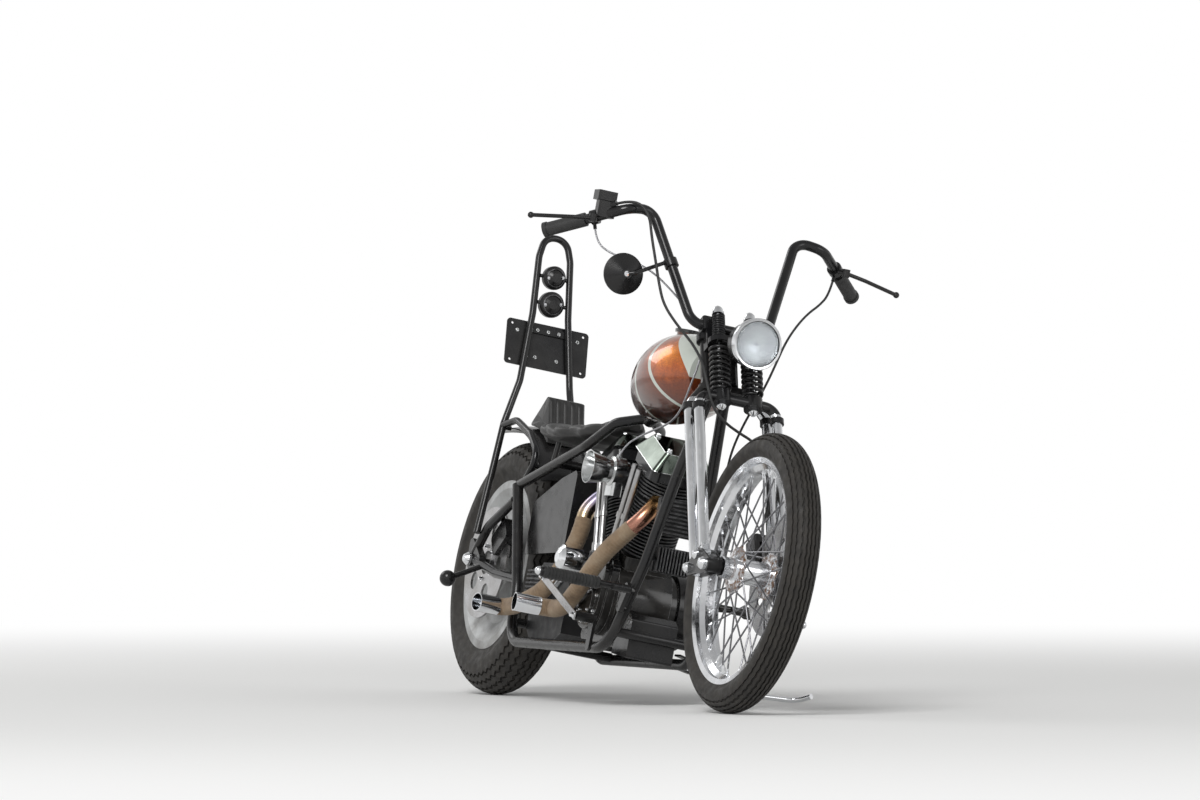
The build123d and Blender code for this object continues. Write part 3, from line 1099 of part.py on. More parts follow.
# Cables: the hose turns with the fork, the other two bend between the bar and the frame
with BuildPart() as brake_hose:
    cable("brake_hose", HOSE_ROUTE, BRAKE_HOSE_R)
brake_hose.part.label = "brake_hose"

with BuildPart() as throttle_cable:
    cable("throttle_cable", THROTTLE_ROUTE, THROTTLE_R)
throttle_cable.part.label = "throttle_cable"

with BuildPart() as clutch_cable:
    cable("clutch_cable", CLUTCH_ROUTE, CLUTCH_R)
clutch_cable.part.label = "clutch_cable"

# Leaning the whole machine onto its stand, with the origin under its middle
PIECES = [rear_tyre, rear_wheel_disc, rear_brake_disc, front_tyre, front_wheel, front_brake_disc,
          fork_rear_legs, fork_front_legs, fork_rockers, fork_springs, handlebar, grips, hand_levers, round_mirror,
          headlight, headlight_lens, front_caliper, engine_case, cylinders, rocker_boxes, pushrod_tubes,
          carburettor, primary_cover, gearbox, starter_motor, exhaust_pipes, exhaust_tips, frame, frame_loops,
          frame_cross_tubes, swingarm, fuel_tank, seat_pad, back_pad, rear_fender, sissy_bar, plate_bracket,
          tail_lamps, oil_tank, oil_cooler, regulator, front_mount, foot_controls, rear_caliper, turn_signals,
          drive_belt, side_stand, brake_hose, throttle_cable, clutch_cable]
LEANED = Location((0, 0, 0), (-LEAN_ANGLE, 0, 0))
box = Compound([piece.part.moved(LEANED) for piece in PIECES]).bounding_box()
PARKED = Location((-box.center().X, -box.center().Y, 0)) * LEANED
for piece in PIECES:
    parked = piece.part.moved(PARKED)
    parked.label = piece.part.label
    export_step(parked, f"parts/{parked.label}.step")
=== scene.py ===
"""Looks of a chopper motorcycle that leans on its side stand.

Pieces are made in upright coordinates: x forward, y to the rider's left, z up, in metres, with the
origin on the ground under the rear axle. UPRIGHT then leans them over into the model's own frame.
"""

import json
import math

import bpy
from bpy.props import FloatProperty, FloatVectorProperty, IntProperty, PointerProperty
from bpy.types import NodeSocket, Operator, Panel, PropertyGroup
from mathutils import Matrix, Vector


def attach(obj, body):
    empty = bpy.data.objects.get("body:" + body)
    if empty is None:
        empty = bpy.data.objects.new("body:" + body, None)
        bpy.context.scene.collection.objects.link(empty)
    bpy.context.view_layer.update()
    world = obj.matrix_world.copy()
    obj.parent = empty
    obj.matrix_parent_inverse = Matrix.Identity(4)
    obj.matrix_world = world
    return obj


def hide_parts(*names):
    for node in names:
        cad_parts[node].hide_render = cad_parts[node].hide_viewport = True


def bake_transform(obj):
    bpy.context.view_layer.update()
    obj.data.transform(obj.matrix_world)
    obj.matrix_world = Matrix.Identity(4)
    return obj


bl_info = {
    "name": "Chopper motorcycle",
    "version": (1, 0, 0),
    "blender": (4, 5, 0),
    "location": "View3D > Sidebar > Chopper",
    "description": "Paint, tyres, springs, seat, pipes, cables and stage of a chopper motorcycle",
    "category": "Add Mesh",
}

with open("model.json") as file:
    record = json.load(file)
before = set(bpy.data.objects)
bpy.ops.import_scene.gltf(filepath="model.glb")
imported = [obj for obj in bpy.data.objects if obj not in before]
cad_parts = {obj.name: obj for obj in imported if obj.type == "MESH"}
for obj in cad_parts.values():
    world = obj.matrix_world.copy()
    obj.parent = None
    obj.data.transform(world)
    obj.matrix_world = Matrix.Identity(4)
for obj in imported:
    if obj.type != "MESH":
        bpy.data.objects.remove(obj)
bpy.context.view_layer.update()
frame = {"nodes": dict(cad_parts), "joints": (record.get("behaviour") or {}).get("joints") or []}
NODES = frame["nodes"]
JOINTS = {joint["name"]: joint for joint in frame["joints"]}

# Bodies of the model
BODY = "root"
FORK = "steering_set"
FRONT = "front_wheel_set"
REAR = "rear_wheel_set"

# Wheels
REAR_TYRE_R = 0.331
REAR_CROWN_R = 0.066
REAR_BEAD_R = 0.214
REAR_BEAD_HALF = 0.048
FRONT_TYRE_R = 0.347
FRONT_CROWN_R = 0.043
FRONT_BEAD_R = 0.276
FRONT_BEAD_HALF = 0.030
BEAD_PLAY = 0.0003
RAKE = math.radians(31)
# Engine: crank, half angle between the bores and where the rocker covers start up a bore
CRANK = Vector((0.850, 0, 0.258))
V_HALF = math.radians(22.5)
ROCKER_SKIRT = 0.3845
ROCKER_TOP = 0.430


def upright_matrix():
    """Matrix from upright coordinates to the leaned model's frame."""
    rear = JOINTS["rear_wheel_spin"]
    left = Vector(rear["axis"]).normalized()
    forward = Vector((1, 0, 0))
    up = forward.cross(left).normalized()
    lean = math.acos(max(-1, min(1, up.z)))
    axle_height = REAR_TYRE_R - REAR_CROWN_R + REAR_CROWN_R / math.cos(lean)
    origin = Vector(rear["pos_m"]) - up * axle_height
    columns = Matrix((forward, left, up)).transposed()
    return Matrix.Translation(origin) @ columns.to_4x4()


UPRIGHT = upright_matrix()
TO_UPRIGHT = UPRIGHT.inverted()
REAR_AXLE = TO_UPRIGHT @ Vector(JOINTS["rear_wheel_spin"]["pos_m"])
FRONT_AXLE = TO_UPRIGHT @ Vector(JOINTS["front_wheel_spin"]["pos_m"])
STEER_FOOT = TO_UPRIGHT @ Vector(JOINTS["steering"]["pos_m"])
AHEAD = Vector((math.cos(RAKE), 0, math.sin(RAKE)))
ALONG = Vector((-math.sin(RAKE), 0, math.cos(RAKE)))


def fork(ahead, left, along):
    """A point given ahead of the steering axis, to the left and up along it from the axle."""
    return STEER_FOOT + AHEAD * ahead + Vector((0, left, 0)) + ALONG * along


# Node trees, and the finishes by name
LOOKS = {}


def node(tree, kind, inputs=None, **settings):
    """Add a node, with its settings and its inputs' values or links."""
    made = tree.nodes.new(kind)
    for name, value in settings.items():
        setattr(made, name, value)
    for key, value in (inputs or {}).items():
        if isinstance(value, NodeSocket):
            tree.links.new(value, made.inputs[key])
        else:
            made.inputs[key].default_value = value
    return made


def surface(name, colour, metallic=0.0, roughness=0.4, **sockets):
    """A material with one shader. Extra sockets are given by name with _ for a space."""
    material = bpy.data.materials.new(name)
    material.use_nodes = True
    tree = material.node_tree
    tree.nodes.clear()
    shader = node(tree, "ShaderNodeBsdfPrincipled", {
        "Base Color": (*colour, 1), "Metallic": metallic, "Roughness": roughness})
    for key, value in sockets.items():
        shader.inputs[key.replace("_", " ")].default_value = value
    node(tree, "ShaderNodeOutputMaterial", {"Surface": shader.outputs[0]})
    material.diffuse_color = (*colour, 1)
    LOOKS[name] = material
    return tree, shader


def place_of(tree):
    """Object coordinates turned upright."""
    where = node(tree, "ShaderNodeTexCoord").outputs["Object"]
    shift, turn = TO_UPRIGHT.to_translation(), TO_UPRIGHT.to_euler()
    return node(tree, "ShaderNodeMapping", {"Vector": where, "Location": shift, "Rotation": turn}).outputs[0]


def noise(tree, where, scale, detail=4.0, roughness=0.55):
    """A noise value around 0.5."""
    return node(tree, "ShaderNodeTexNoise", {
        "Vector": where, "Scale": scale, "Detail": detail, "Roughness": roughness}).outputs[0]


def ramp(tree, value, stops):
    """Colours of a value. Each stop is (value, grey or colour)."""
    made = node(tree, "ShaderNodeValToRGB", {"Fac": value})
    marks = made.color_ramp.elements
    while len(marks) < len(stops):
        marks.new(0.5)
    for mark, (at, colour) in zip(marks, stops):
        mark.position = at
        mark.color = (*colour, 1) if isinstance(colour, tuple) else (colour, colour, colour, 1)
    return made.outputs[0]


def maths(tree, operation, first, second=0.0):
    """A sum, product or other operation on two values."""
    return node(tree, "ShaderNodeMath", {0: first, 1: second}, operation=operation).outputs[0]


def mix(tree, share, first, second):
    """A blend of two colours."""
    made = tree.nodes.new("ShaderNodeMix")
    made.data_type = "RGBA"
    for socket, value in ((made.inputs[0], share), (made.inputs[6], first), (made.inputs[7], second)):
        if isinstance(value, NodeSocket):
            tree.links.new(value, socket)
        else:
            socket.default_value = (*value, 1) if isinstance(value, tuple) else value
    return made.outputs[2]


def bump(tree, shader, height, distance, strength=1.0, previous=None):
    """Raise the surface by a height value."""
    inputs = {"Height": height, "Distance": distance, "Strength": strength}
    if previous:
        inputs["Normal"] = previous
    raised = node(tree, "ShaderNodeBump", inputs).outputs[0]
    tree.links.new(raised, shader.inputs["Normal"])
    return raised


def edges(tree, radius=0.0014):
    """A value that is 1 along sharp edges and 0 elsewhere."""
    rounded = node(tree, "ShaderNodeBevel", {"Radius": radius}).outputs[0]
    flat = node(tree, "ShaderNodeNewGeometry").outputs["Normal"]
    turn = node(tree, "ShaderNodeVectorMath", {0: rounded, 1: flat}, operation="DOT_PRODUCT").outputs["Value"]
    return node(tree, "ShaderNodeMapRange", {"Value": turn, "From Min": 0.99, "From Max": 0.88}).outputs[0]


def feed(tree, shader, **sources):
    """Link values into a shader. Sockets are given by name with _ for a space."""
    for key, source in sources.items():
        tree.links.new(source, shader.inputs[key.replace("_", " ")])


def axis_of(tree, where, index):
    """One coordinate of a place."""
    return node(tree, "ShaderNodeSeparateXYZ", {0: where}).outputs[index]


def wave(tree, where, scale, **settings):
    """Even ridges across a place."""
    return node(tree, "ShaderNodeTexWave", {"Vector": where, "Scale": scale}, **settings).outputs[1]


def vector_maths(tree, operation, first, second=(0, 0, 0), output=0):
    """A sum, product, length or other operation on two places."""
    return node(tree, "ShaderNodeVectorMath", {0: first, 1: second}, operation=operation).outputs[output]


# Materials


def clouded(name, base, tint, shine, grain, **sockets):
    """A finish whose colour and roughness drift over clouds, with a fine grain.

    base is (colour, metal share, roughness), tint and shine are (cloud, stops), and grain is
    (scale, detail, height, strength). A shine without a cloud follows the tint's.
    """
    tree, shader = surface(name, *base, **sockets)
    where = place_of(tree)
    drift = noise(tree, where, *tint[0])
    smear = noise(tree, where, *shine[0]) if shine[0] else drift
    feed(tree, shader, Base_Color=ramp(tree, drift, tint[1]), Roughness=ramp(tree, smear, shine[1]))
    scale, detail, height, strength = grain
    bump(tree, shader, noise(tree, where, scale, detail), height, strength)


# Clouds of enamel and of chrome, from their dull parts to their clean ones
BLACK_TONES = [(0.35, (0.009, 0.009, 0.01)), (0.75, (0.022, 0.021, 0.02))]
CHROME_TONES = [(0.35, (0.72, 0.73, 0.75)), (0.7, (0.86, 0.87, 0.88))]


def plain_finishes():
    """The enamel, chrome, polished alloy, wheel paint and tyre rubber."""
    clouded("black_enamel", ((0.011, 0.011, 0.012), 0.0, 0.2),
            ((9, 6), BLACK_TONES),
            ((30, 5), [(0.3, 0.14), (0.75, 0.34)]), (700, 2, 0.00012, 0.35),
            Specular_IOR_Level=0.32, Coat_Weight=0.12, Coat_Roughness=0.05)
    clouded("chrome", ((0.80, 0.81, 0.83), 1.0, 0.08),
            ((22, 6), [(0.35, (0.74, 0.75, 0.77)), (0.7, (0.86, 0.87, 0.88))]),
            (None, [(0.35, 0.05), (0.8, 0.2)]), (1400, 2, 0.00005, 0.2))
    clouded("polished_alloy", ((0.62, 0.63, 0.63), 1.0, 0.16),
            ((14, 6), [(0.3, (0.50, 0.51, 0.51)), (0.75, (0.74, 0.75, 0.75))]),
            ((80, 4), [(0.3, 0.1), (0.75, 0.27)]), (420, 3, 0.0001, 0.25))
    clouded("wheel_grey", ((0.42, 0.43, 0.43), 0.35, 0.4),
            ((12, 7, 0.65), [(0.3, (0.22, 0.21, 0.2)), (0.6, (0.44, 0.45, 0.45))]),
            (None, [(0.3, 0.6), (0.7, 0.32)]), (500, 3, 0.00015, 0.4))
    clouded("tyre_rubber", ((0.016, 0.016, 0.017), 0.0, 0.62),
            ((30, 6, 0.7), [(0.1, (0.009, 0.009, 0.010)), (0.7, (0.042, 0.038, 0.033))]),
            ((50, 4), [(0.3, 0.5), (0.7, 0.78)]), (1300, 3, 0.0003, 0.5), Specular_IOR_Level=0.3)


def soft_rubber(name, grey):
    """Matt rubber of the grips, pegs, belt and cable sheaths."""
    clouded(name, ((grey, grey, grey), 0.0, 0.55), ((40, 5), [(0.3, grey * 0.8), (0.75, grey * 1.7)]),
            ((90, 4), [(0.3, 0.44), (0.7, 0.7)]), (1600, 2, 0.00015, 0.4))


def along_fork(tree, where):
    """Distance up the steering axis from the axle's level."""
    offset = vector_maths(tree, "SUBTRACT", where, STEER_FOOT)
    return vector_maths(tree, "DOT_PRODUCT", offset, ALONG, "Value")


def black_and_chrome(name, bright_of):
    """Gloss black enamel that gives way to chrome wherever bright_of(tree, place) is 1."""
    tree, shader = surface(name, (0.012, 0.012, 0.013), 0.0, 0.18, Specular_IOR_Level=0.35)
    where = place_of(tree)
    bright = bright_of(tree, where)
    dust = noise(tree, where, 9, 6)
    painted, plated = ramp(tree, dust, BLACK_TONES), ramp(tree, dust, CHROME_TONES)
    feed(tree, shader, Base_Color=mix(tree, bright, painted, plated), Metallic=bright,
         Roughness=ramp(tree, noise(tree, where, 30, 5), [(0.3, 0.07), (0.75, 0.24)]))
    bump(tree, shader, noise(tree, where, 700, 2), 0.00008, 0.3)


def chrome_below(limit):
    """Mask of a fork leg's chrome lower part."""
    return lambda tree, where: maths(tree, "LESS_THAN", along_fork(tree, where), limit)


def chrome_outside(limit):
    """Mask of the nuts beyond a distance to each side."""
    return lambda tree, where: maths(
        tree, "GREATER_THAN", maths(tree, "ABSOLUTE", axis_of(tree, where, 1)), limit)


def rocker_metal():
    """Polished faces with bright edges on a black skirt."""
    tree, shader = surface("rocker_metal", (0.6, 0.61, 0.6), 1.0, 0.12)
    where = place_of(tree)
    axes = node(tree, "ShaderNodeSeparateXYZ", {0: where}).outputs
    # Height up each leaning bore, measured from the crank
    reach = maths(tree, "ABSOLUTE", maths(tree, "SUBTRACT", axes[0], CRANK.x))
    rise = maths(tree, "SUBTRACT", axes[2], CRANK.z)
    up = maths(tree, "ADD", maths(tree, "MULTIPLY", reach, math.sin(V_HALF)),
               maths(tree, "MULTIPLY", rise, math.cos(V_HALF)))
    cover = maths(tree, "GREATER_THAN", up, ROCKER_SKIRT)
    metal = ramp(tree, noise(tree, where, 14, 6), [(0.3, (0.07, 0.085, 0.07)), (0.75, (0.20, 0.23, 0.20))])
    rim = mix(tree, edges(tree, 0.0035), metal, (0.9, 0.9, 0.9))
    feed(tree, shader, Base_Color=mix(tree, cover, (0.014, 0.014, 0.015), rim), Metallic=cover,
         Roughness=ramp(tree, noise(tree, where, 80, 4), [(0.3, 0.06), (0.75, 0.2)]))


def gloss_case():
    """Gloss black paint of the crankcase, with oil film and bare edges."""
    tree, shader = surface("gloss_case", (0.012, 0.012, 0.013), 0.0, 0.16, Specular_IOR_Level=0.4,
                           Coat_Weight=0.2, Coat_Roughness=0.06)
    where = place_of(tree)
    film = noise(tree, where, 20, 6, 0.65)
    bare = maths(tree, "MULTIPLY", edges(tree, 0.001), ramp(tree, film, [(0.4, 0.0), (0.55, 1.0)]))
    black = ramp(tree, film, [(0.3, (0.008, 0.008, 0.009)), (0.7, (0.03, 0.028, 0.025))])
    feed(tree, shader, Base_Color=mix(tree, bare, black, (0.5, 0.5, 0.5)),
         Roughness=ramp(tree, film, [(0.3, 0.1), (0.75, 0.34)]))
    bump(tree, shader, noise(tree, where, 500, 3), 0.0002, 0.4)


def engine_black():
    """Satin heat-proof black with bare metal on the edges of the fins."""
    tree, shader = surface("engine_black", (0.018, 0.018, 0.02), 0.1, 0.45)
    where = place_of(tree)
    patches = ramp(tree, noise(tree, where, 60, 5), [(0.35, 0.0), (0.6, 1.0)])
    worn = maths(tree, "MULTIPLY", edges(tree), patches)
    feed(tree, shader, Base_Color=mix(tree, worn, (0.016, 0.016, 0.017), (0.42, 0.42, 0.43)), Metallic=worn,
         Roughness=ramp(tree, noise(tree, where, 45, 5), [(0.3, 0.36), (0.7, 0.58)]))
    bump(tree, shader, noise(tree, where, 900, 3), 0.0003, 0.4)


# Radii on the laced wheel: foot and edge of the hub's flanges, and the rim's inside
HUB_RINGS = (0.036, 0.060, 0.254)


def ring_mask(tree, radius, inner, outer):
    """1 between two radii."""
    return maths(tree, "MULTIPLY", maths(tree, "GREATER_THAN", radius, inner),
                 maths(tree, "LESS_THAN", radius, outer))


def laced_chrome():
    """Chrome of the laced wheel: bright rim, spokes darkened with painted shade, and rusty flanges on the
    hub.
    """
    tree, shader = surface("laced_chrome", (0.8, 0.8, 0.82), 1.0, 0.1)
    where = place_of(tree)
    offset = vector_maths(tree, "SUBTRACT", where, FRONT_AXLE)
    flat = vector_maths(tree, "MULTIPLY", offset, (1, 0, 1))
    radius = vector_maths(tree, "LENGTH", flat, output="Value")
    hub_low, hub_high, rim_low = HUB_RINGS
    patch = noise(tree, where, 90, 6, 0.7)
    rust = maths(tree, "MULTIPLY", ring_mask(tree, radius, hub_low, hub_high),
                 ramp(tree, patch, [(0.42, 0.0), (0.56, 1.0)]))
    bright = ramp(tree, noise(tree, where, 22, 6), [(0.35, (0.72, 0.73, 0.75)), (0.7, (0.87, 0.88, 0.9))])
    # Between the hub's flanges and the rim the chrome is painted dark grey: painted shade on the spokes
    metal = mix(tree, ring_mask(tree, radius, hub_high, rim_low), bright, (0.20, 0.20, 0.21))
    feed(tree, shader, Base_Color=mix(tree, rust, metal, (0.13, 0.06, 0.025)),
         Metallic=maths(tree, "SUBTRACT", 1.0, rust),
         Roughness=ramp(tree, patch, [(0.35, 0.07), (0.8, 0.3)]))


def glasses():
    """The clear bulb, the mirror's silver and the headlight's glass with a fine moulded grid."""
    surface("clear_glass", (0.97, 0.98, 1.0), 0.0, 0.02, Transmission_Weight=1.0, IOR=1.45)
    surface("mirror_glass", (0.88, 0.9, 0.92), 1.0, 0.02)
    tree, shader = surface("fluted_glass", (0.93, 0.96, 0.98), 0.0, 0.03, Transmission_Weight=0.9, IOR=1.45)
    where = place_of(tree)
    grid = [wave(tree, where, 62.8, bands_direction=way) for way in "YZ"]
    bump(tree, shader, maths(tree, "MAXIMUM", *grid), 0.0012, 0.6)


def turned_steel():
    """Steel with fine machining lines."""
    tree, shader = surface("turned_steel", (0.45, 0.45, 0.46), 1.0, 0.3)
    where = place_of(tree)
    lines = node(tree, "ShaderNodeTexWave", {"Vector": where, "Scale": 260, "Distortion": 3}).outputs[1]
    tint = ramp(tree, noise(tree, where, 16, 6), [(0.3, (0.34, 0.33, 0.32)), (0.7, (0.50, 0.50, 0.51))])
    feed(tree, shader, Base_Color=tint, Roughness=ramp(tree, lines, [(0.0, 0.24), (1.0, 0.4)]))
    bump(tree, shader, lines, 0.00008, 0.3)


def braided_sheath():
    """Silver braid over the throttle cable, woven along the piece's own map, with painted shade that darkens
    it between the strands.
    """
    tree, shader = surface("braided_sheath", (0.42, 0.42, 0.44), 0.9, 0.36)
    lie = node(tree, "ShaderNodeUVMap", uv_map="UVMap").outputs[0]
    strands = []
    for turn in (math.radians(45), math.radians(-45)):
        turned = node(tree, "ShaderNodeMapping", {"Vector": lie, "Rotation": (0, 0, turn)}).outputs[0]
        strands.append(wave(tree, turned, 260))
    weave = maths(tree, "MAXIMUM", *strands)
    # Colour falls from silver on the strands to dark between them: painted shade
    feed(tree, shader, Base_Color=ramp(tree, weave, [(0.2, (0.10, 0.10, 0.11)), (0.9, (0.50, 0.50, 0.52))]))
    bump(tree, shader, weave, 0.0003, 0.7)


def leather():
    """Black leather with a fine pebbled grain."""
    tree, shader = surface("leather", (0.013, 0.012, 0.012), 0.0, 0.42,
                           Sheen_Weight=0.15, Sheen_Roughness=0.4)
    where = place_of(tree)
    cells = node(tree, "ShaderNodeTexVoronoi", {"Vector": where, "Scale": 520}, feature="F1")
    creases = noise(tree, where, 45, 6)
    tint = ramp(tree, creases, [(0.3, (0.009, 0.009, 0.009)), (0.75, (0.026, 0.025, 0.024))])
    feed(tree, shader, Base_Color=tint,
         Roughness=ramp(tree, creases, [(0.3, 0.34), (0.7, 0.5)]))
    grain = bump(tree, shader, cells.outputs["Distance"], 0.0004, 0.35)
    bump(tree, shader, creases, 0.001, 0.25, grain)


def pipe_wrap():
    """Woven heat wrap, browned by use, with painted shade in the weave's hollows, on the pipe's own map."""
    tree, shader = surface("pipe_wrap", (0.30, 0.22, 0.15), 0.0, 0.85, Sheen_Weight=0.2)
    lie = node(tree, "ShaderNodeUVMap", uv_map="UVMap").outputs[0]
    where = place_of(tree)
    weave = maths(tree, "MULTIPLY", *[wave(tree, lie, 130, bands_direction=way) for way in "XY"])
    heat = noise(tree, where, 16, 6, 0.6)
    brown = ramp(tree, heat, [(0.25, (0.12, 0.075, 0.04)), (0.5, (0.33, 0.23, 0.14)),
                              (0.8, (0.47, 0.38, 0.27))])
    # The weave's hollows are painted darker: painted shade
    painted_hollow_shade = ramp(tree, weave, [(0.0, 0.35), (0.6, 0.0)])
    feed(tree, shader, Base_Color=mix(tree, painted_hollow_shade, brown, (0.07, 0.045, 0.025)))
    fuzz = bump(tree, shader, weave, 0.0007, 0.8)
    bump(tree, shader, noise(tree, where, 600, 4), 0.0004, 0.5, fuzz)


def heated_metal(name, colours):
    """Bare header metal, tinted by heat along the pipe."""
    tree, shader = surface(name, colours[0], 1.0, 0.24)
    lie = node(tree, "ShaderNodeUVMap", uv_map="UVMap").outputs[0]
    where = place_of(tree)
    swirl = maths(tree, "ADD", maths(tree, "MULTIPLY", axis_of(tree, lie, 1), 11.0),
                  maths(tree, "MULTIPLY", noise(tree, where, 35, 4), 0.35))
    stops = [(index / (len(colours) - 1), colour) for index, colour in enumerate(colours)]
    feed(tree, shader, Base_Color=ramp(tree, swirl, stops),
         Roughness=ramp(tree, noise(tree, where, 60, 4), [(0.3, 0.16), (0.7, 0.34)]))


def red_lens():
    """Deep red lamp plastic with a ribbed inside."""
    tree, shader = surface("red_lens", (0.32, 0.008, 0.01), 0.0, 0.12, Coat_Weight=0.6)
    ridges = wave(tree, place_of(tree), 70, bands_direction="Y")
    tint = ramp(tree, ridges, [(0.0, (0.16, 0.004, 0.006)), (1.0, (0.42, 0.012, 0.014))])
    feed(tree, shader, Base_Color=tint)


# Tank colours: middle (x, z) and half size of the painted highlight, and the cap's foot
PAINTED_HIGHLIGHT_AT = (1.06, 0.875)
PAINTED_HIGHLIGHT_SIZE = (0.09, 0.06)
CAP_FOOT = 0.9455
# Bowed band: x at its straight top, height where it starts to bow, how fast it runs forward, half width
BOWED_BAND = (0.983, 0.875, 2.182, 0.0075)
STRAIGHT_BAND = (0.910, 0.0065)
# Nose panel: x of its edge at PANEL_TOP, slope and curve of that edge further down
PANEL_TOP = 0.925
PANEL_EDGE = (1.028, 1.7, -6.8)


def tank_paint():
    """Candy orange paint with a painted highlight, bright orange mid-side, and painted shade toward red brown
    edges, under clear coat, with pale bands and nose panel.
    """
    tree, shader = surface("candy_paint", (0.30, 0.08, 0.02), 0.5, 0.28,
                           Coat_Weight=1.0, Coat_Roughness=0.03)
    where = place_of(tree)
    ahead, height = [axis_of(tree, where, index) for index in (0, 2)]
    cloud = maths(tree, "MULTIPLY", maths(tree, "SUBTRACT", noise(tree, where, 38, 7, 0.65), 0.5), 1.1)
    squares = []
    # Painted highlight: the colour is brightest about its middle and falls to dark red brown away from it,
    # which is painted shade; the cloud adds random tone
    for value, middle, size in zip((ahead, height), PAINTED_HIGHLIGHT_AT, PAINTED_HIGHLIGHT_SIZE):
        away = maths(tree, "DIVIDE", maths(tree, "SUBTRACT", value, middle), size)
        squares.append(maths(tree, "MULTIPLY", away, away))
    away = maths(tree, "SQRT", maths(tree, "ADD", *squares))
    spread = maths(tree, "MULTIPLY", maths(tree, "ADD", away, cloud), 0.4)
    base = ramp(tree, spread, [(0.0, (0.90, 0.28, 0.02)), (0.25, (0.50, 0.11, 0.014)),
                               (0.5, (0.19, 0.04, 0.010)), (1.0, (0.07, 0.018, 0.008))])
    flake = node(tree, "ShaderNodeTexVoronoi", {"Vector": where, "Scale": 900}, feature="F1")
    sparkle = ramp(tree, node(tree, "ShaderNodeSeparateColor", {0: flake.outputs["Color"]}).outputs[0],
                   [(0.0, 0.7), (0.7, 1.0), (0.92, 1.5)])
    pale = pale_mask(tree, ahead, height)
    cap = maths(tree, "GREATER_THAN", height, CAP_FOOT)
    painted = mix(tree, pale, vector_maths(tree, "MULTIPLY", base, sparkle), (0.60, 0.64, 0.58))
    candy = maths(tree, "SUBTRACT", 1.0, maths(tree, "MAXIMUM", pale, cap))
    feed(tree, shader, Base_Color=mix(tree, cap, painted, (0.012, 0.012, 0.013)),
         Metallic=maths(tree, "MULTIPLY", candy, 0.45))


def band_mask(tree, away, half):
    """1 within a half width of a line, with a soft edge."""
    return node(tree, "ShaderNodeMapRange", {
        "Value": maths(tree, "ABSOLUTE", away), "From Min": half * 1.08, "From Max": half * 0.9}).outputs[0]


def pale_mask(tree, ahead, height):
    """1 on the two pale bands down each side of the tank and on the panel at its nose."""
    top_x, bow_z, rush, half = BOWED_BAND
    drop = maths(tree, "MAXIMUM", maths(tree, "SUBTRACT", bow_z, height), 0.0)
    line = maths(tree, "ADD", maths(tree, "MULTIPLY", maths(tree, "POWER", drop, 1.5), rush), top_x)
    bowed = band_mask(tree, maths(tree, "SUBTRACT", ahead, line), half)
    straight = band_mask(tree, maths(tree, "SUBTRACT", ahead, STRAIGHT_BAND[0]), STRAIGHT_BAND[1])
    depth = maths(tree, "SUBTRACT", PANEL_TOP, height)
    edge_x, slope, curve = PANEL_EDGE
    edge = maths(tree, "ADD", maths(tree, "MULTIPLY", maths(tree, "MULTIPLY", depth, depth), curve),
                 maths(tree, "ADD", maths(tree, "MULTIPLY", depth, slope), edge_x))
    panel = maths(tree, "GREATER_THAN", ahead, edge)
    return maths(tree, "MAXIMUM", panel, maths(tree, "MAXIMUM", bowed, straight))


# Mesh pieces


def plain_mesh(name, verts, faces=()):
    """A mesh of points and faces."""
    mesh = bpy.data.meshes.new(name)
    mesh.from_pydata([tuple(point) for point in verts], [], faces)
    return mesh


def piece(name, verts, faces, material, body, slot=None, replaces=(), sharp=35, uvs=None):
    """A mesh given in upright coordinates, leaned into place and riding on its body."""
    mesh = plain_mesh(name, verts, faces)
    if uvs:
        layer = mesh.uv_layers.new(name="UVMap")
        for loop, uv in zip(layer.data, (uvs[key] for face in faces for key in face)):
            loop.uv = uv
    return settle(name, mesh, material, body, replaces, sharp)


def settle(name, mesh, material, body, replaces=(), sharp=35, matrix=None):
    """Make an object of a mesh in upright coordinates and let it ride on its body."""
    mesh.transform(UPRIGHT @ (matrix or Matrix.Identity(4)))
    mesh.shade_smooth()
    mesh.set_sharp_from_angle(angle=math.radians(sharp))
    made = bpy.data.objects.new(name, mesh)
    bpy.context.scene.collection.objects.link(made)
    mesh.materials.clear()
    mesh.materials.append(material)
    if body:
        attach(made, body)
    if replaces:
        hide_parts(*replaces)
    return made


def look(name):
    """A finish by its name."""
    return LOOKS[name]


def turn_to(origin, axis, sideways=(0, 1, 0)):
    """A matrix at a place whose z lies along an axis."""
    up = Vector(axis).normalized()
    side = Vector(sideways)
    if abs(up.dot(side)) > 0.95:
        side = Vector((1, 0, 0))
    first = side.cross(up).normalized()
    second = up.cross(first)
    return Matrix.Translation(origin) @ Matrix((first, second, up)).transposed().to_4x4()


def lathe(profile, steps):
    """Vertices and faces of points (radius, along) turned about z. Points on the axis become poles."""
    verts, rows = [], []
    for radius, along in profile:
        if radius < 1e-7:
            rows.append([len(verts)] * steps)
            verts.append(Vector((0, 0, along)))
            continue
        rows.append(list(range(len(verts), len(verts) + steps)))
        for step in range(steps):
            angle = 2 * math.pi * step / steps
            verts.append(Vector((radius * math.cos(angle), radius * math.sin(angle), along)))
    faces = []
    for low, high in zip(rows, rows[1:]):
        for step in range(steps):
            after = (step + 1) % steps
            face = [low[step], low[after], high[after], high[step]]
            kept = [key for i, key in enumerate(face) if key not in face[:i]]
            if len(kept) > 2:
                faces.append(kept)
    return verts, faces


def turned_piece(name, profile, matrix, material, body, steps=48, **more):
    """A lathe-turned piece whose axis is the matrix's z."""
    verts, faces = lathe(profile, steps)
    return piece(name, [matrix @ v for v in verts], faces, material, body, **more)


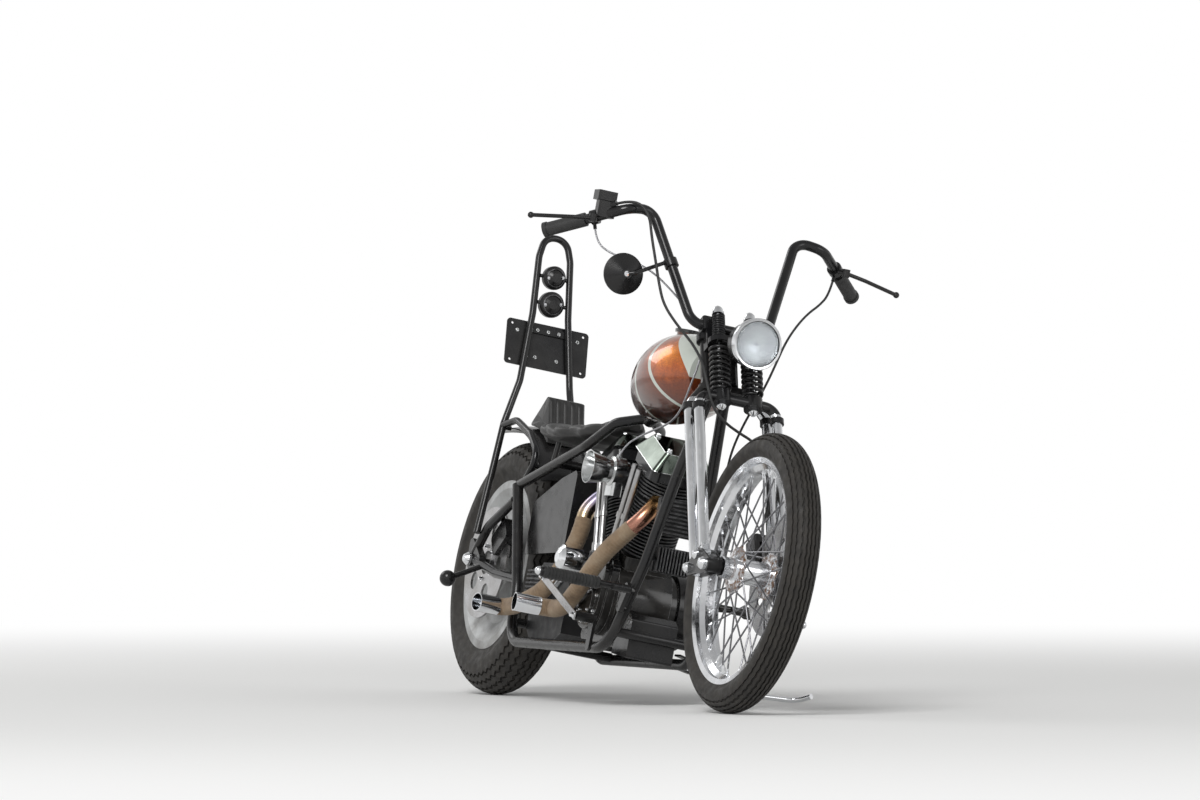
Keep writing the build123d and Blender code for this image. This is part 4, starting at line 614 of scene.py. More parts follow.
def smooth_path(route, per_span=10):
    """Points of a smooth spline whose control points are the route's, read from the curve itself."""
    curve = bpy.data.curves.new("route", "CURVE")
    curve.dimensions = "3D"
    spline = curve.splines.new("NURBS")
    spline.points.add(len(route) - 1)
    for point, place in zip(spline.points, route):
        point.co = (*place, 1)
    spline.order_u = 3
    spline.use_endpoint_u = True
    spline.resolution_u = per_span
    holder = bpy.data.objects.new("route", curve)
    bpy.context.scene.collection.objects.link(holder)
    bpy.context.view_layer.update()
    line = bpy.data.meshes.new_from_object(holder)
    points = [v.co.copy() for v in line.vertices]
    bpy.data.objects.remove(holder)
    bpy.data.curves.remove(curve)
    bpy.data.meshes.remove(line)
    return points


def even_steps(points, step):
    """The same line with points at even distances."""
    spans = [(b - a).length for a, b in zip(points, points[1:])]
    total = sum(spans)
    count = max(2, round(total / step))
    out, index, passed = [], 0, 0.0
    for mark in range(count + 1):
        want = total * mark / count
        while index < len(spans) - 1 and passed + spans[index] < want:
            passed += spans[index]
            index += 1
        share = (want - passed) / spans[index] if spans[index] else 0
        out.append(points[index].lerp(points[index + 1], min(1, share)))
    return out


def sweep(points, radius_at, sides=16):
    """A tube along a line. radius_at(distance, angle) gives its radius. Returns vertices, faces and uvs."""
    verts, faces, uvs = [], [], []
    tangent = (points[1] - points[0]).normalized()
    side = tangent.orthogonal().normalized()
    passed = 0.0
    for index, point in enumerate(points):
        ahead = points[min(index + 1, len(points) - 1)] - points[max(index - 1, 0)]
        tangent = ahead.normalized()
        side = (side - tangent * side.dot(tangent)).normalized()
        other = tangent.cross(side)
        if index:
            passed += (point - points[index - 1]).length
        for step in range(sides):
            angle = 2 * math.pi * step / sides
            radius = radius_at(passed, angle)
            verts.append(point + (side * math.cos(angle) + other * math.sin(angle)) * radius)
            uvs.append((angle * 0.02, passed))
    for row in range(len(points) - 1):
        for step in range(sides):
            after = (step + 1) % sides
            low = row * sides
            faces.append([low + step, low + after, low + sides + after, low + sides + step])
    faces.append(list(range(sides))[::-1])
    faces.append(list(range(len(verts) - sides, len(verts))))
    return verts, faces, uvs


# Trees that repeat shapes


def new_tree(name, inputs):
    """A geometry tree with named inputs after its geometry."""
    tree = bpy.data.node_groups.new(name, "GeometryNodeTree")
    tree.interface.new_socket("Geometry", in_out="INPUT", socket_type="NodeSocketGeometry")
    for label, kind in inputs:
        tree.interface.new_socket(label, in_out="INPUT", socket_type=kind)
    tree.interface.new_socket("Geometry", in_out="OUTPUT", socket_type="NodeSocketGeometry")
    start = node(tree, "NodeGroupInput")
    return tree, start


def close_tree(tree, shapes, material, weld=None):
    """Realize what was repeated, weld it where asked, and give it its material."""
    real = node(tree, "GeometryNodeRealizeInstances", {0: shapes}).outputs[0]
    if weld:
        real = node(tree, "GeometryNodeMergeByDistance", {"Geometry": real, "Distance": weld}).outputs[0]
    dressed = node(tree, "GeometryNodeSetMaterial", {"Geometry": real, "Material": material}).outputs[0]
    node(tree, "NodeGroupOutput", {0: dressed})
    return tree


def ring_tree():
    """Repeats one sector around z."""
    tree, start = new_tree("ring_of_sectors", [
        ("Count", "NodeSocketInt"), ("Material", "NodeSocketMaterial")])
    points = node(tree, "GeometryNodePoints", {"Count": start.outputs["Count"]}).outputs[0]
    index = node(tree, "GeometryNodeInputIndex").outputs[0]
    share = maths(tree, "DIVIDE", index, start.outputs["Count"])
    angle = maths(tree, "MULTIPLY", share, 2 * math.pi)
    spin = node(tree, "ShaderNodeCombineXYZ", {2: angle}).outputs[0]
    shapes = node(tree, "GeometryNodeInstanceOnPoints", {
        "Points": points, "Instance": start.outputs["Geometry"], "Rotation": spin}).outputs[0]
    return close_tree(tree, shapes, start.outputs["Material"], weld=0.00005)


def stud_tree():
    """Sets a bolt head with a washer on each point, standing along the point's aim."""
    tree, start = new_tree("studs_on_points", [
        ("Radius", "NodeSocketFloat"), ("Height", "NodeSocketFloat"), ("Sides", "NodeSocketInt"),
        ("Material", "NodeSocketMaterial")])
    radius, height = start.outputs["Radius"], start.outputs["Height"]
    wide = maths(tree, "MULTIPLY", radius, 1.35)
    thin = maths(tree, "MULTIPLY", height, 0.25)
    narrow = maths(tree, "MULTIPLY", radius, 0.62)
    lift = maths(tree, "MULTIPLY", height, 0.5)
    washer = node(tree, "GeometryNodeMeshCylinder", {
        "Vertices": 16, "Radius": wide, "Depth": thin}).outputs[0]
    head = node(tree, "GeometryNodeMeshCylinder", {
        "Vertices": start.outputs["Sides"], "Radius": radius, "Depth": height}).outputs[0]
    raised = node(tree, "ShaderNodeCombineXYZ", {2: lift}).outputs[0]
    head = node(tree, "GeometryNodeTransform", {"Geometry": head, "Translation": raised}).outputs[0]
    crown = node(tree, "GeometryNodeMeshCone", {
        "Vertices": start.outputs["Sides"], "Radius Bottom": radius, "Radius Top": narrow,
        "Depth": lift}).outputs[0]
    top = node(tree, "ShaderNodeCombineXYZ", {2: height}).outputs[0]
    crown = node(tree, "GeometryNodeTransform", {"Geometry": crown, "Translation": top}).outputs[0]
    whole = tree.nodes.new("GeometryNodeJoinGeometry")
    for part in (washer, head, crown):
        tree.links.new(part, whole.inputs[0])
    aim = node(tree, "GeometryNodeInputNamedAttribute", {"Name": "aim"}, data_type="FLOAT_VECTOR").outputs[0]
    turn = node(tree, "FunctionNodeAlignRotationToVector", {"Vector": aim}, axis="Z").outputs[0]
    shapes = node(tree, "GeometryNodeInstanceOnPoints", {
        "Points": start.outputs["Geometry"], "Instance": whole.outputs[0], "Rotation": turn}).outputs[0]
    return close_tree(tree, shapes, start.outputs["Material"])


def coil_tree():
    """Winds a wire about z."""
    tree, start = new_tree("wound_wire", [
        ("Turns", "NodeSocketFloat"), ("Radius", "NodeSocketFloat"), ("Length", "NodeSocketFloat"),
        ("Wire", "NodeSocketFloat"), ("Material", "NodeSocketMaterial")])
    wire = node(tree, "GeometryNodeCurveSpiral", {
        "Resolution": 28, "Rotations": start.outputs["Turns"], "Start Radius": start.outputs["Radius"],
        "End Radius": start.outputs["Radius"], "Height": start.outputs["Length"]}).outputs[0]
    section = node(tree, "GeometryNodeCurvePrimitiveCircle", {
        "Resolution": 10, "Radius": start.outputs["Wire"]}, mode="RADIUS").outputs[0]
    shape = node(tree, "GeometryNodeCurveToMesh", {
        "Curve": wire, "Profile Curve": section, "Fill Caps": True}).outputs[0]
    return close_tree(tree, shape, start.outputs["Material"])


def grown_mesh(name, base, tree, **values):
    """The plain mesh that a tree makes from a base mesh."""
    holder = bpy.data.objects.new(name, base)
    bpy.context.scene.collection.objects.link(holder)
    modifier = holder.modifiers.new(tree.name, "NODES")
    modifier.node_group = tree
    for item in tree.interface.items_tree:
        if item.item_type == "SOCKET" and item.in_out == "INPUT" and item.name in values:
            modifier[item.identifier] = values[item.name]
    bpy.context.view_layer.update()
    graph = bpy.context.evaluated_depsgraph_get()
    mesh = bpy.data.meshes.new_from_object(holder.evaluated_get(graph))
    holder.modifiers.clear()
    bpy.data.objects.remove(holder)
    mesh.name = name
    return mesh


def joined(name, meshes):
    """One mesh of several, each given with its matrix."""
    verts, faces = [], []
    for mesh, matrix in meshes:
        first = len(verts)
        verts += [matrix @ v.co for v in mesh.vertices]
        faces += [[first + key for key in polygon.vertices] for polygon in mesh.polygons]
    return plain_mesh(name, verts, faces)


def studs(name, places, radius, height, material, body, sides=6):
    """Bolt heads at places given as (point, direction)."""
    base = plain_mesh(name, [point for point, _ in places])
    aims = base.attributes.new("aim", "FLOAT_VECTOR", "POINT")
    for item, (_, aim) in zip(aims.data, places):
        item.vector = Vector(aim).normalized()
    mesh = grown_mesh(name, base, bpy.data.node_groups["studs_on_points"],
                      Radius=radius, Height=height, Sides=sides, Material=material)
    return settle(name, mesh, material, body)


class ChopperSizes(PropertyGroup):
    """Sizes and colours that a user would change."""
    tread_depth: FloatProperty(name="Tread depth", description="Depth of the tyres' grooves",
                               default=0.005, min=0.001, max=0.009, unit="LENGTH")
    rear_pitches: IntProperty(name="Rear tread pitches", description="Repeats of the rear tread",
                              default=64)
    front_pitches: IntProperty(name="Front tread pitches", description="Repeats of the front tread",
                               default=80)
    wrap_pitch: FloatProperty(name="Wrap pitch", description="Width of one ridge of the heat wrap",
                              default=0.0085, min=0.004, unit="LENGTH")
    wrap_lap: FloatProperty(name="Wrap lap", description="Height of the step where turns overlap",
                            default=0.0012, unit="LENGTH")
    roll_pitch: FloatProperty(name="Seat roll", description="Width of one sewn roll of the seat",
                              default=0.062, min=0.03, unit="LENGTH")
    roll_height: FloatProperty(name="Roll height",
                               description="How far the rolls stand up between their seams",
                               default=0.006, unit="LENGTH")
    floor_colour: FloatVectorProperty(name="Floor", description="Colour of the floor",
                                      default=(0.86, 0.86, 0.85), subtype="COLOR")
    lamp_power: FloatProperty(name="Lamp power", description="Power of the main soft lamp",
                              default=120.0, unit="POWER")
    sun_strength: FloatProperty(name="Sun", description="Strength of the soft sun from the right front",
                                default=1.2)


class CHOPPER_OT_finishes(Operator):
    """Make every finish and give each carried-over node its own"""
    bl_idname = "chopper.finishes"
    bl_label = "Finishes"

    def execute(self, context):
        """Build the materials and assign them."""
        plain_finishes()
        glasses()
        for finish in (engine_black, turned_steel, braided_sheath, leather, pipe_wrap, red_lens, tank_paint,
                       rocker_metal, gloss_case, laced_chrome):
            finish()
        for name, grey in (("grip_rubber", 0.018), ("belt_rubber", 0.03), ("sheath_rubber", 0.014)):
            soft_rubber(name, grey)
        for _, _, _, name, tints in PIPES:
            heated_metal(name, tints)
        for name, limit in (("rear_leg_finish", REAR_LEG_CHROME), ("front_leg_finish", FRONT_LEG_CHROME)):
            black_and_chrome(name, chrome_below(limit))
        for name, limit in (("rocker_plate_finish", ROCKER_NUTS_OUT), ("swingarm_finish", AXLE_NUTS_OUT)):
            black_and_chrome(name, chrome_outside(limit))
        for finish, names in NODE_FINISH.items():
            for name in names:
                NODES[name].data.materials.clear()
                NODES[name].data.materials.append(look(finish))
        return {"FINISHED"}


# How far up the fork its legs are chrome, and from how far to the side the nuts are
REAR_LEG_CHROME = 0.54
FRONT_LEG_CHROME = 0.50
ROCKER_NUTS_OUT = 0.1236
AXLE_NUTS_OUT = 0.1285
# Nodes by their finish
NODE_FINISH = {
    "black_enamel": ["frame", "frame_loops", "frame_cross_tubes", "fork_springs", "handlebar", "hand_levers",
                     "mirror", "headlight", "front_caliper", "primary_cover", "rear_fender", "sissy_bar",
                     "plate_bracket", "tail_lamps", "oil_tank", "front_mount", "foot_controls",
                     "rear_caliper", "turn_signals"],
    "engine_black": ["cylinders", "gearbox", "oil_cooler", "regulator"],
    "turned_steel": ["rear_brake_disc", "front_brake_disc", "pushrod_tubes"],
    "chrome": ["starter_motor", "exhaust_tips", "side_stand"],
    "tyre_rubber": ["rear_tyre", "front_tyre"], "leather": ["seat_pad", "back_pad"],
    "sheath_rubber": ["clutch_cable", "brake_hose"], "braided_sheath": ["throttle_cable"],
    "wheel_grey": ["rear_wheel_disc"], "laced_chrome": ["front_wheel"], "gloss_case": ["engine_case"],
    "rear_leg_finish": ["fork_rear_legs"], "front_leg_finish": ["fork_front_legs"],
    "rocker_plate_finish": ["fork_rockers"], "swingarm_finish": ["swingarm"], "grip_rubber": ["grips"],
    "fluted_glass": ["headlight_lens"], "rocker_metal": ["rocker_boxes"], "polished_alloy": ["carburettor"],
    "pipe_wrap": ["exhaust_pipes"], "candy_paint": ["fuel_tank"], "belt_rubber": ["drive_belt"]}


# Camera and stage
CAMERA_AT = UPRIGHT.to_translation() + Vector((24.217, -8.883, 0.776))
CAMERA_TO = UPRIGHT.to_translation() + Vector((0.842, -0.020, 0.762))
CAMERA_LENS = 299.3
CAMERA_SENSOR = 36
# Name, place, size, share of the main power
LAMPS = [("key", (5.0, -4.5, 5.0), 2.5, 1.0), ("fill", (6.5, 3.5, 3.0), 3.0, 0.5),
         ("back", (-5.0, -3.0, 4.5), 3.0, 0.6)]
FLOOR_HALF = 60
SUN_FROM = Vector((4.0, -3.2, 5.0))
SUN_SPREAD = math.radians(25)
AIM_AT = Vector((0.2, 0.0, 0.55))
AMBIENT = 0.34
# Distances from the machine between which the floor fades into the background
FLOOR_FADE = (2.2, 9.0)


def aimed(name, data, at, context):
    """A lamp or camera at a place, looking at the machine."""
    holder = bpy.data.objects.new(name, data)
    holder.location = at
    holder.rotation_euler = (AIM_AT - Vector(at)).to_track_quat("-Z", "Y").to_euler()
    context.scene.collection.objects.link(holder)
    return holder


class CHOPPER_OT_stage(Operator):
    """Lay the floor and set the lamps, the world and the camera"""
    bl_idname = "chopper.stage"
    bl_label = "Stage"

    def execute(self, context):
        """Build what isn't part of the machine."""
        sizes = context.scene.chopper
        half = FLOOR_HALF
        corners = [(-half, -half, 0), (half, -half, 0), (half, half, 0), (-half, half, 0)]
        floor = plain_mesh("floor", corners, [(0, 1, 2, 3)])
        ground = bpy.data.objects.new("floor", floor)
        context.scene.collection.objects.link(ground)
        floor.materials.append(self.floor_finish(tuple(sizes.floor_colour)))
        for name, at, size, share in LAMPS:
            lamp = bpy.data.lights.new(name, "AREA")
            lamp.size = size
            lamp.energy = sizes.lamp_power * share
            aimed(name, lamp, at, context)
        sun = bpy.data.lights.new("sun", "SUN")
        sun.energy = sizes.sun_strength
        sun.angle = SUN_SPREAD
        aimed("sun", sun, SUN_FROM, context)
        self.light_world(context)
        camera = bpy.data.cameras.new("camera")
        camera.lens = CAMERA_LENS
        camera.sensor_width = CAMERA_SENSOR
        camera.clip_end = 200
        eye = aimed("camera", camera, CAMERA_AT, context)
        eye.rotation_euler = (CAMERA_TO - CAMERA_AT).to_track_quat("-Z", "Y").to_euler()
        context.scene.camera = eye
        context.scene.view_settings.view_transform = "Standard"
        return {"FINISHED"}

    def floor_finish(self, colour):
        """Pale floor that keeps the machine's shadow and fades to white far away."""
        tree, shader = surface("floor", colour, 0.0, 0.8)
        where = node(tree, "ShaderNodeTexCoord").outputs["Object"]
        bump(tree, shader, noise(tree, where, 220, 3), 0.001, 0.15)
        far = vector_maths(tree, "LENGTH", where, output="Value")
        near, gone = FLOOR_FADE
        fade = node(tree, "ShaderNodeMapRange", {"Value": far, "From Min": near, "From Max": gone},
                    interpolation_type="SMOOTHSTEP").outputs[0]
        seen = maths(tree, "MULTIPLY", fade, node(tree, "ShaderNodeLightPath").outputs["Is Camera Ray"])
        white = node(tree, "ShaderNodeEmission", {"Color": (1, 1, 1, 1), "Strength": 1.0}).outputs[0]
        both = node(tree, "ShaderNodeMixShader", {0: seen, 1: shader.outputs[0], 2: white}).outputs[0]
        tree.links.new(both, tree.nodes["Material Output"].inputs["Surface"])
        return look("floor")

    def light_world(self, context):
        """White to the camera, a sky that greys aloft in reflections, and softer light on the machine."""
        world = bpy.data.worlds.new("studio")
        world.use_nodes = True
        tree = world.node_tree
        tree.nodes.clear()
        rays = node(tree, "ShaderNodeLightPath").outputs
        aloft = axis_of(tree, node(tree, "ShaderNodeTexCoord").outputs["Generated"], 2)
        tone = ramp(tree, aloft, [(0.0, 0.85), (0.10, 1.0), (0.45, 0.62), (1.0, 0.34)])
        colour = mix(tree, rays["Is Glossy Ray"], (1.0, 1.0, 1.0), tone)
        seen = maths(tree, "MAXIMUM", rays["Is Camera Ray"],
                     maths(tree, "MAXIMUM", rays["Is Glossy Ray"], rays["Is Transmission Ray"]))
        strength = maths(tree, "ADD", maths(tree, "MULTIPLY", seen, 1.0 - AMBIENT), AMBIENT)
        sky = node(tree, "ShaderNodeBackground", {"Color": colour, "Strength": strength}).outputs[0]
        node(tree, "ShaderNodeOutputWorld", {"Surface": sky})
        context.scene.world = world


# Cables: the routes of their sheaths in upright millimetres
HOSE_FOOT = [(29, 80, 400), (30, 85, 350), (31, 84, 290), (29, 83, 240), (20, 70, 200), (20, 70, 160)]
HOSE_ROUTE = [(1032, -291, 1217), (1064, -257, 1235), (1098, -226, 1204), (1108, -212, 1146),
              (1134, -200, 1088), (1158, -190, 1034), (1186, -178, 982), (1232, -148, 934), (1284, -118, 893),
              (1334, -101, 845), (1366, -92, 792), (1386, -76, 742), (1392, -40, 712), (1378, 6, 696),
              (1366, 50, 684)]
THROTTLE_ROUTE = [(1004, -325, 1146), (1014, -318, 1112), (1046, -286, 1090), (1084, -242, 1082),
                  (1112, -192, 1062), (1128, -142, 1026), (1138, -94, 986), (1150, -56, 944),
                  (1166, -46, 898), (1166, -52, 846), (1148, -56, 796), (1114, -52, 750), (1060, -46, 720),
                  (994, -42, 704), (932, -46, 692), (884, -62, 672), (850, -82, 646), (838, -89, 618)]
CLUTCH_ROUTE = [(1004, 325, 1146), (1016, 316, 1108), (1044, 286, 1076), (1084, 244, 1046), (1122, 204, 1004),
                (1152, 172, 956), (1172, 150, 900), (1184, 130, 842), (1180, 110, 784), (1166, 94, 726),
                (1152, 84, 666), (1142, 84, 606), (1134, 92, 546), (1120, 102, 492), (1102, 112, 442),
                (1070, 120, 402), (1028, 126, 376), (984, 127, 352), (946, 126, 327)]


CABLE_STEP = 0.004
CABLE_SIDES = 12
# Points where the throttle and clutch cables would start and stop bending with the steering; the script only
# reads that they are given, and then leaves such a cable fixed in place on no body
THROTTLE_BEND = (Vector((1.14, -0.09, 0.98)), Vector((1.14, -0.05, 0.76)))
CLUTCH_BEND = (Vector((1.15, 0.17, 0.96)), Vector((1.15, 0.085, 0.64)))


def metres(route):
    """A route in millimetres as points in metres."""
    return [Vector(point) / 1000 for point in route]


def cable(name, node_name, route, radius, material, slot, bodies, bend=None):
    """A cable's sheath as a tube along its spline, riding on its first body, or fixed in place when a bend is
    given.
    """
    line = smooth_path([UPRIGHT @ point for point in route])
    line = even_steps(line, CABLE_STEP)
    verts, faces, uvs = sweep(line, lambda passed, angle: radius, CABLE_SIDES)
    made = piece(name, [TO_UPRIGHT @ v for v in verts], faces, look(material), None, slot=slot, uvs=uvs)
    if bend:
        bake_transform(made)
    else:
        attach(made, bodies[0])
    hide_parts(node_name)
    return made


class CHOPPER_OT_cables(Operator):
    """Run the brake hose, the throttle cable and the clutch cable"""
    bl_idname = "chopper.cables"
    bl_label = "Cables"

    def execute(self, context):
        """Sweep each sheath along its spline."""
        hose = metres(HOSE_ROUTE) + [fork(a / 1000, b / 1000, c / 1000) for a, b, c in HOSE_FOOT]
        cable("hose_sheath", "brake_hose", hose, 0.0035, "sheath_rubber", "cable_rubber", [FORK])
        cable("throttle_sheath", "throttle_cable", metres(THROTTLE_ROUTE), 0.0025, "braided_sheath",
              "cable_braid", [FORK, BODY], THROTTLE_BEND)
        cable("clutch_sheath", "clutch_cable", metres(CLUTCH_ROUTE), 0.003, "sheath_rubber",
              "cable_rubber", [FORK, BODY], CLUTCH_BEND)
        return {"FINISHED"}


def tyre_sector(pitches, radius, crown_r, bead_r, bead_half, pattern, depth):
    """One pitch of a tyre about z: its tread pattern on the crown, then its walls down to the beads.

    Each pattern row is (angle over the crown in degrees, sideways zigzag in degrees, groove depth share).
    """
    sector = 2 * math.pi / pitches
    steps = 6
    verts, faces = [], []
    centre = radius - crown_r
    for step in range(steps + 1):
        share = step / steps
        zig = abs((share * 2) % 2 - 1) * 2 - 1
        angle = sector * share
        line = [(bead_r, -bead_half)]
        for over, swing, sunk in pattern:
            at = math.radians(over + swing * zig)
            reach = crown_r - depth * sunk
            line.append((centre + reach * math.cos(at), reach * math.sin(at)))
        line.append((bead_r, bead_half))
        for r, y in line:
            verts.append(Vector((r * math.cos(angle), r * math.sin(angle), y)))
    wide = len(pattern) + 2
    for step in range(steps):
        for key in range(wide - 1):
            low = step * wide + key
            faces.append([low, low + wide, low + wide + 1, low + 1])
        low = step * wide
        faces.append([low, low + wide - 1, low + 2 * wide - 1, low + wide])
    return plain_mesh("tyre_sector", verts, faces)


def groove(middle, half, swing, sunk=1.0):
    """Four pattern rows of a groove with steep walls."""
    return [(middle - half, swing, 0), (middle - half + 0.6, swing, sunk), (middle + half - 0.6, swing, sunk),
            (middle + half, swing, 0)]


def mirrored(rows):
    """A half pattern from the wall to the middle, with its other half."""
    return rows + [(-over, swing, sunk) for over, swing, sunk in reversed(rows)]


REAR_PATTERN = mirrored(
    [(-112, 0, 0.9), (-104, 0, 0.35), (-98, 0, 0.0), (-90, 0, 0.1), (-78, 0, 0.15), (-72, 0, 0.0)]
    + groove(-64, 3, 3.5, 0.9) + groove(-46, 3.2, 3, 1.0) + groove(-27, 3.2, 3, 1.0)
    + groove(-8, 3.2, 3, 1.0))
FRONT_PATTERN = mirrored(
    [(-112, 0, 0.9), (-102, 0, 0.25), (-92, 0, 0.0), (-82, 0, 0.12), (-74, 0, 0.0)]
    + groove(-60, 3.5, 1.5, 0.7) + groove(-41, 3.5, 1.5, 0.9) + groove(-23, 3.5, 1.5, 1.0)
    + groove(-7, 3.2, 1.5, 1.0))


class CHOPPER_OT_tyres(Operator):
    """Mould both tyres, each from one pitch of its tread repeated round the wheel"""
    bl_idname = "chopper.tyres"
    bl_label = "Tyres"

    def execute(self, context):
        """Repeat the sectors and set them on their wheels."""
        sizes = context.scene.chopper
        for name, axle, pitches, shape, pattern, body in (
                ("rear", REAR_AXLE, sizes.rear_pitches,
                 (REAR_TYRE_R, REAR_CROWN_R, REAR_BEAD_R, REAR_BEAD_HALF - BEAD_PLAY), REAR_PATTERN, REAR),
                ("front", FRONT_AXLE, sizes.front_pitches,
                 (FRONT_TYRE_R, FRONT_CROWN_R, FRONT_BEAD_R, FRONT_BEAD_HALF - BEAD_PLAY),
                 FRONT_PATTERN, FRONT)):
            sector = tyre_sector(pitches, *shape, pattern, sizes.tread_depth)
            mesh = grown_mesh(f"{name}_tyre_tread", sector, bpy.data.node_groups["ring_of_sectors"],
                              Count=pitches, Material=look("tyre_rubber"))
            settle(f"{name}_tyre_tread", mesh, look("tyre_rubber"), body, [f"{name}_tyre"], 28,
                   turn_to(axle, (0, 1, 0), (0, 0, 1)))
        return {"FINISHED"}


# Fork springs: how far ahead and to the side of the steering axis they stand
SPRING_AHEAD = 0.053
SPRING_Y = 0.043
# Foot and length along the fork, coil radius, wire radius and turns of the long and the short spring
COILS = [(0.5375, 0.142, 0.023, 0.0045, 9), (0.6945, 0.073, 0.0145, 0.0028, 10)]
# Each rod from its foot nut to its acorn nut, as (radius, along the fork)
ROD_PROFILE = [(0, 0.489), (0.006, 0.491), (0.012, 0.499), (0.012, 0.5067), (0.006, 0.5067), (0.006, 0.768),
               (0.0155, 0.768), (0.0155, 0.774), (0.013, 0.776), (0.013, 0.782), (0.010, 0.788),
               (0.005, 0.7925), (0, 0.794)]


class CHOPPER_OT_springs(Operator):
    """Wind the fork springs on their rods"""
    bl_idname = "chopper.springs"
    bl_label = "Fork springs"

    def execute(self, context):
        """Wind four coils and turn the rods, cups and acorn nuts."""
        coils, rods = [], []
        for side in (1, -1):
            for foot, length, coil_r, wire_r, turns in COILS:
                coil = grown_mesh("coil", plain_mesh("coil", []), bpy.data.node_groups["wound_wire"],
                                  Turns=float(turns), Radius=coil_r, Length=length - 2 * wire_r, Wire=wire_r,
                                  Material=look("black_enamel"))
                coils.append((coil, turn_to(fork(SPRING_AHEAD, side * SPRING_Y, foot + wire_r), ALONG)))
            rods.append((plain_mesh("rod", *lathe(ROD_PROFILE, 24)),
                         turn_to(fork(SPRING_AHEAD, side * SPRING_Y, 0), ALONG)))
        settle("spring_coils", joined("spring_coils", coils), look("black_enamel"), FORK,
               ["fork_springs"], 50)
        settle("spring_rods", joined("spring_rods", rods), look("chrome"), FORK)
        return {"FINISHED"}


# Exhaust: radius, and centre lines in upright millimetres
PIPE_R = 0.022
FRONT_PIPE = [(1012, -30, 514), (1044, -62, 478), (1008, -100, 418), (946, -130, 355), (872, -146, 262),
              (800, -142, 226), (746, -140, 215), (707, -146, 213), (704, -176, 213)]
REAR_PIPE = [(690, -50, 522), (668, -86, 490), (684, -94, 420), (642, -106, 335), (606, -132, 262),
             (516, -148, 226), (398, -150, 207), (405, -180, 207)]
# Name, centre line, length of the bare start, and its finish with the tints along it
PIPES = [("front", FRONT_PIPE, 0.105, "gold_header",
          [(0.75, 0.52, 0.22), (0.62, 0.34, 0.14), (0.45, 0.22, 0.16)]),
         ("rear", REAR_PIPE, 0.085, "blue_header",
          [(0.42, 0.45, 0.55), (0.34, 0.30, 0.42), (0.5, 0.38, 0.24)])]
PIPE_STEP = 0.0014
PIPE_SIDES = 40
# How far the bare metal and the foot of the wrap lie inside the pipe's radius
BARE_SINK = 0.0015
WRAP_SINK = 0.0006


class CHOPPER_OT_exhaust(Operator):
    """Wrap the exhaust pipes in overlapping turns of heat wrap, bare at the ports"""
    bl_idname = "chopper.exhaust"
    bl_label = "Exhaust wrap"

    def execute(self, context):
        """Sweep the bare starts and the wrapped runs."""
        sizes = context.scene.chopper
        for name, route, bare, finish, _ in PIPES:
            line = even_steps(smooth_path(metres(route), 16), PIPE_STEP)
            cut = round(bare / PIPE_STEP)
            verts, faces, uvs = sweep(line[:cut + 4], lambda passed, angle: PIPE_R - BARE_SINK, PIPE_SIDES)
            piece(f"{name}_header", verts, faces, look(finish), BODY, slot="chrome", uvs=uvs)

            def lapped(passed, angle):
                """Radius of the wrap: each turn climbs onto the last one."""
                climb = (passed / sizes.wrap_pitch - angle / (2 * math.pi)) % 1.0
                return PIPE_R - WRAP_SINK + sizes.wrap_lap * climb

            verts, faces, uvs = sweep(line[cut:], lapped, PIPE_SIDES)
            piece(f"{name}_pipe_wrap", verts, faces, look("pipe_wrap"), BODY, slot="pipe_wrap",
                  replaces=["exhaust_pipes"] if name == "front" else (), sharp=60, uvs=uvs)
        return {"FINISHED"}


# Seat: x, half width, bottom z, top z of its sections, rear end first
SEAT_SECTIONS = [(0.290, 0.070, 0.668, 0.694), (0.300, 0.104, 0.661, 0.700), (0.335, 0.124, 0.652, 0.701),
                 (0.420, 0.122, 0.648, 0.695), (0.520, 0.092, 0.656, 0.703), (0.610, 0.052, 0.676, 0.717),
                 (0.652, 0.034, 0.692, 0.722), (0.666, 0.018, 0.700, 0.718)]
SEAT_STEPS = 150
SEAT_SIDES = 56
SEAM_RUSH = 0.055
# How square the section's sides and its top are
SIDE_POWER = 0.62
TOP_POWER = 0.75
# Level about which the rolls rise and sink, how low a seam runs, and how fast the rolls fade at the ends
ROLL_LEVEL = 0.75
SEAM_FOOT = -0.6
END_FADE = 12
# Back pad: its outline (x, z) from the rear foot round, and its half width
PAD_OUTLINE = [(0.054, 0.7000), (0.100, 0.6940), (0.150, 0.6790), (0.192, 0.6560), (0.192, 0.6880),
               (0.150, 0.7740), (0.136, 0.7760), (0.052, 0.7060)]
PAD_HALF = 0.050
PAD_ROLLS = 5
# Sections across the pad, closer at its rounded edges, and how far those edges draw in
PAD_STATIONS = [-1.0, -0.985, -0.95, *(-0.92 + 1.84 * key / 60 for key in range(61)), 0.95, 0.985, 1.0]
PAD_EDGE = 0.0025
PAD_STEP = 0.005
FENDER_TOP_R = 0.3716


def eased(low, high, share):
    """A value between two others with level ends."""
    share = share * share * (3 - 2 * share)
    return low + (high - low) * share


def seat_section(x):
    """Half width, bottom and top of the seat at a place along it."""
    for before, after in zip(SEAT_SECTIONS, SEAT_SECTIONS[1:]):
        if x <= after[0]:
            share = (x - before[0]) / (after[0] - before[0])
            return [eased(a, b, share) for a, b in zip(before[1:], after[1:])]
    return SEAT_SECTIONS[-1][1:]


def swell(phase):
    """Height of a sewn roll across one pitch: round on top with a tight seam."""
    return abs(math.sin(math.pi * phase)) ** 0.55


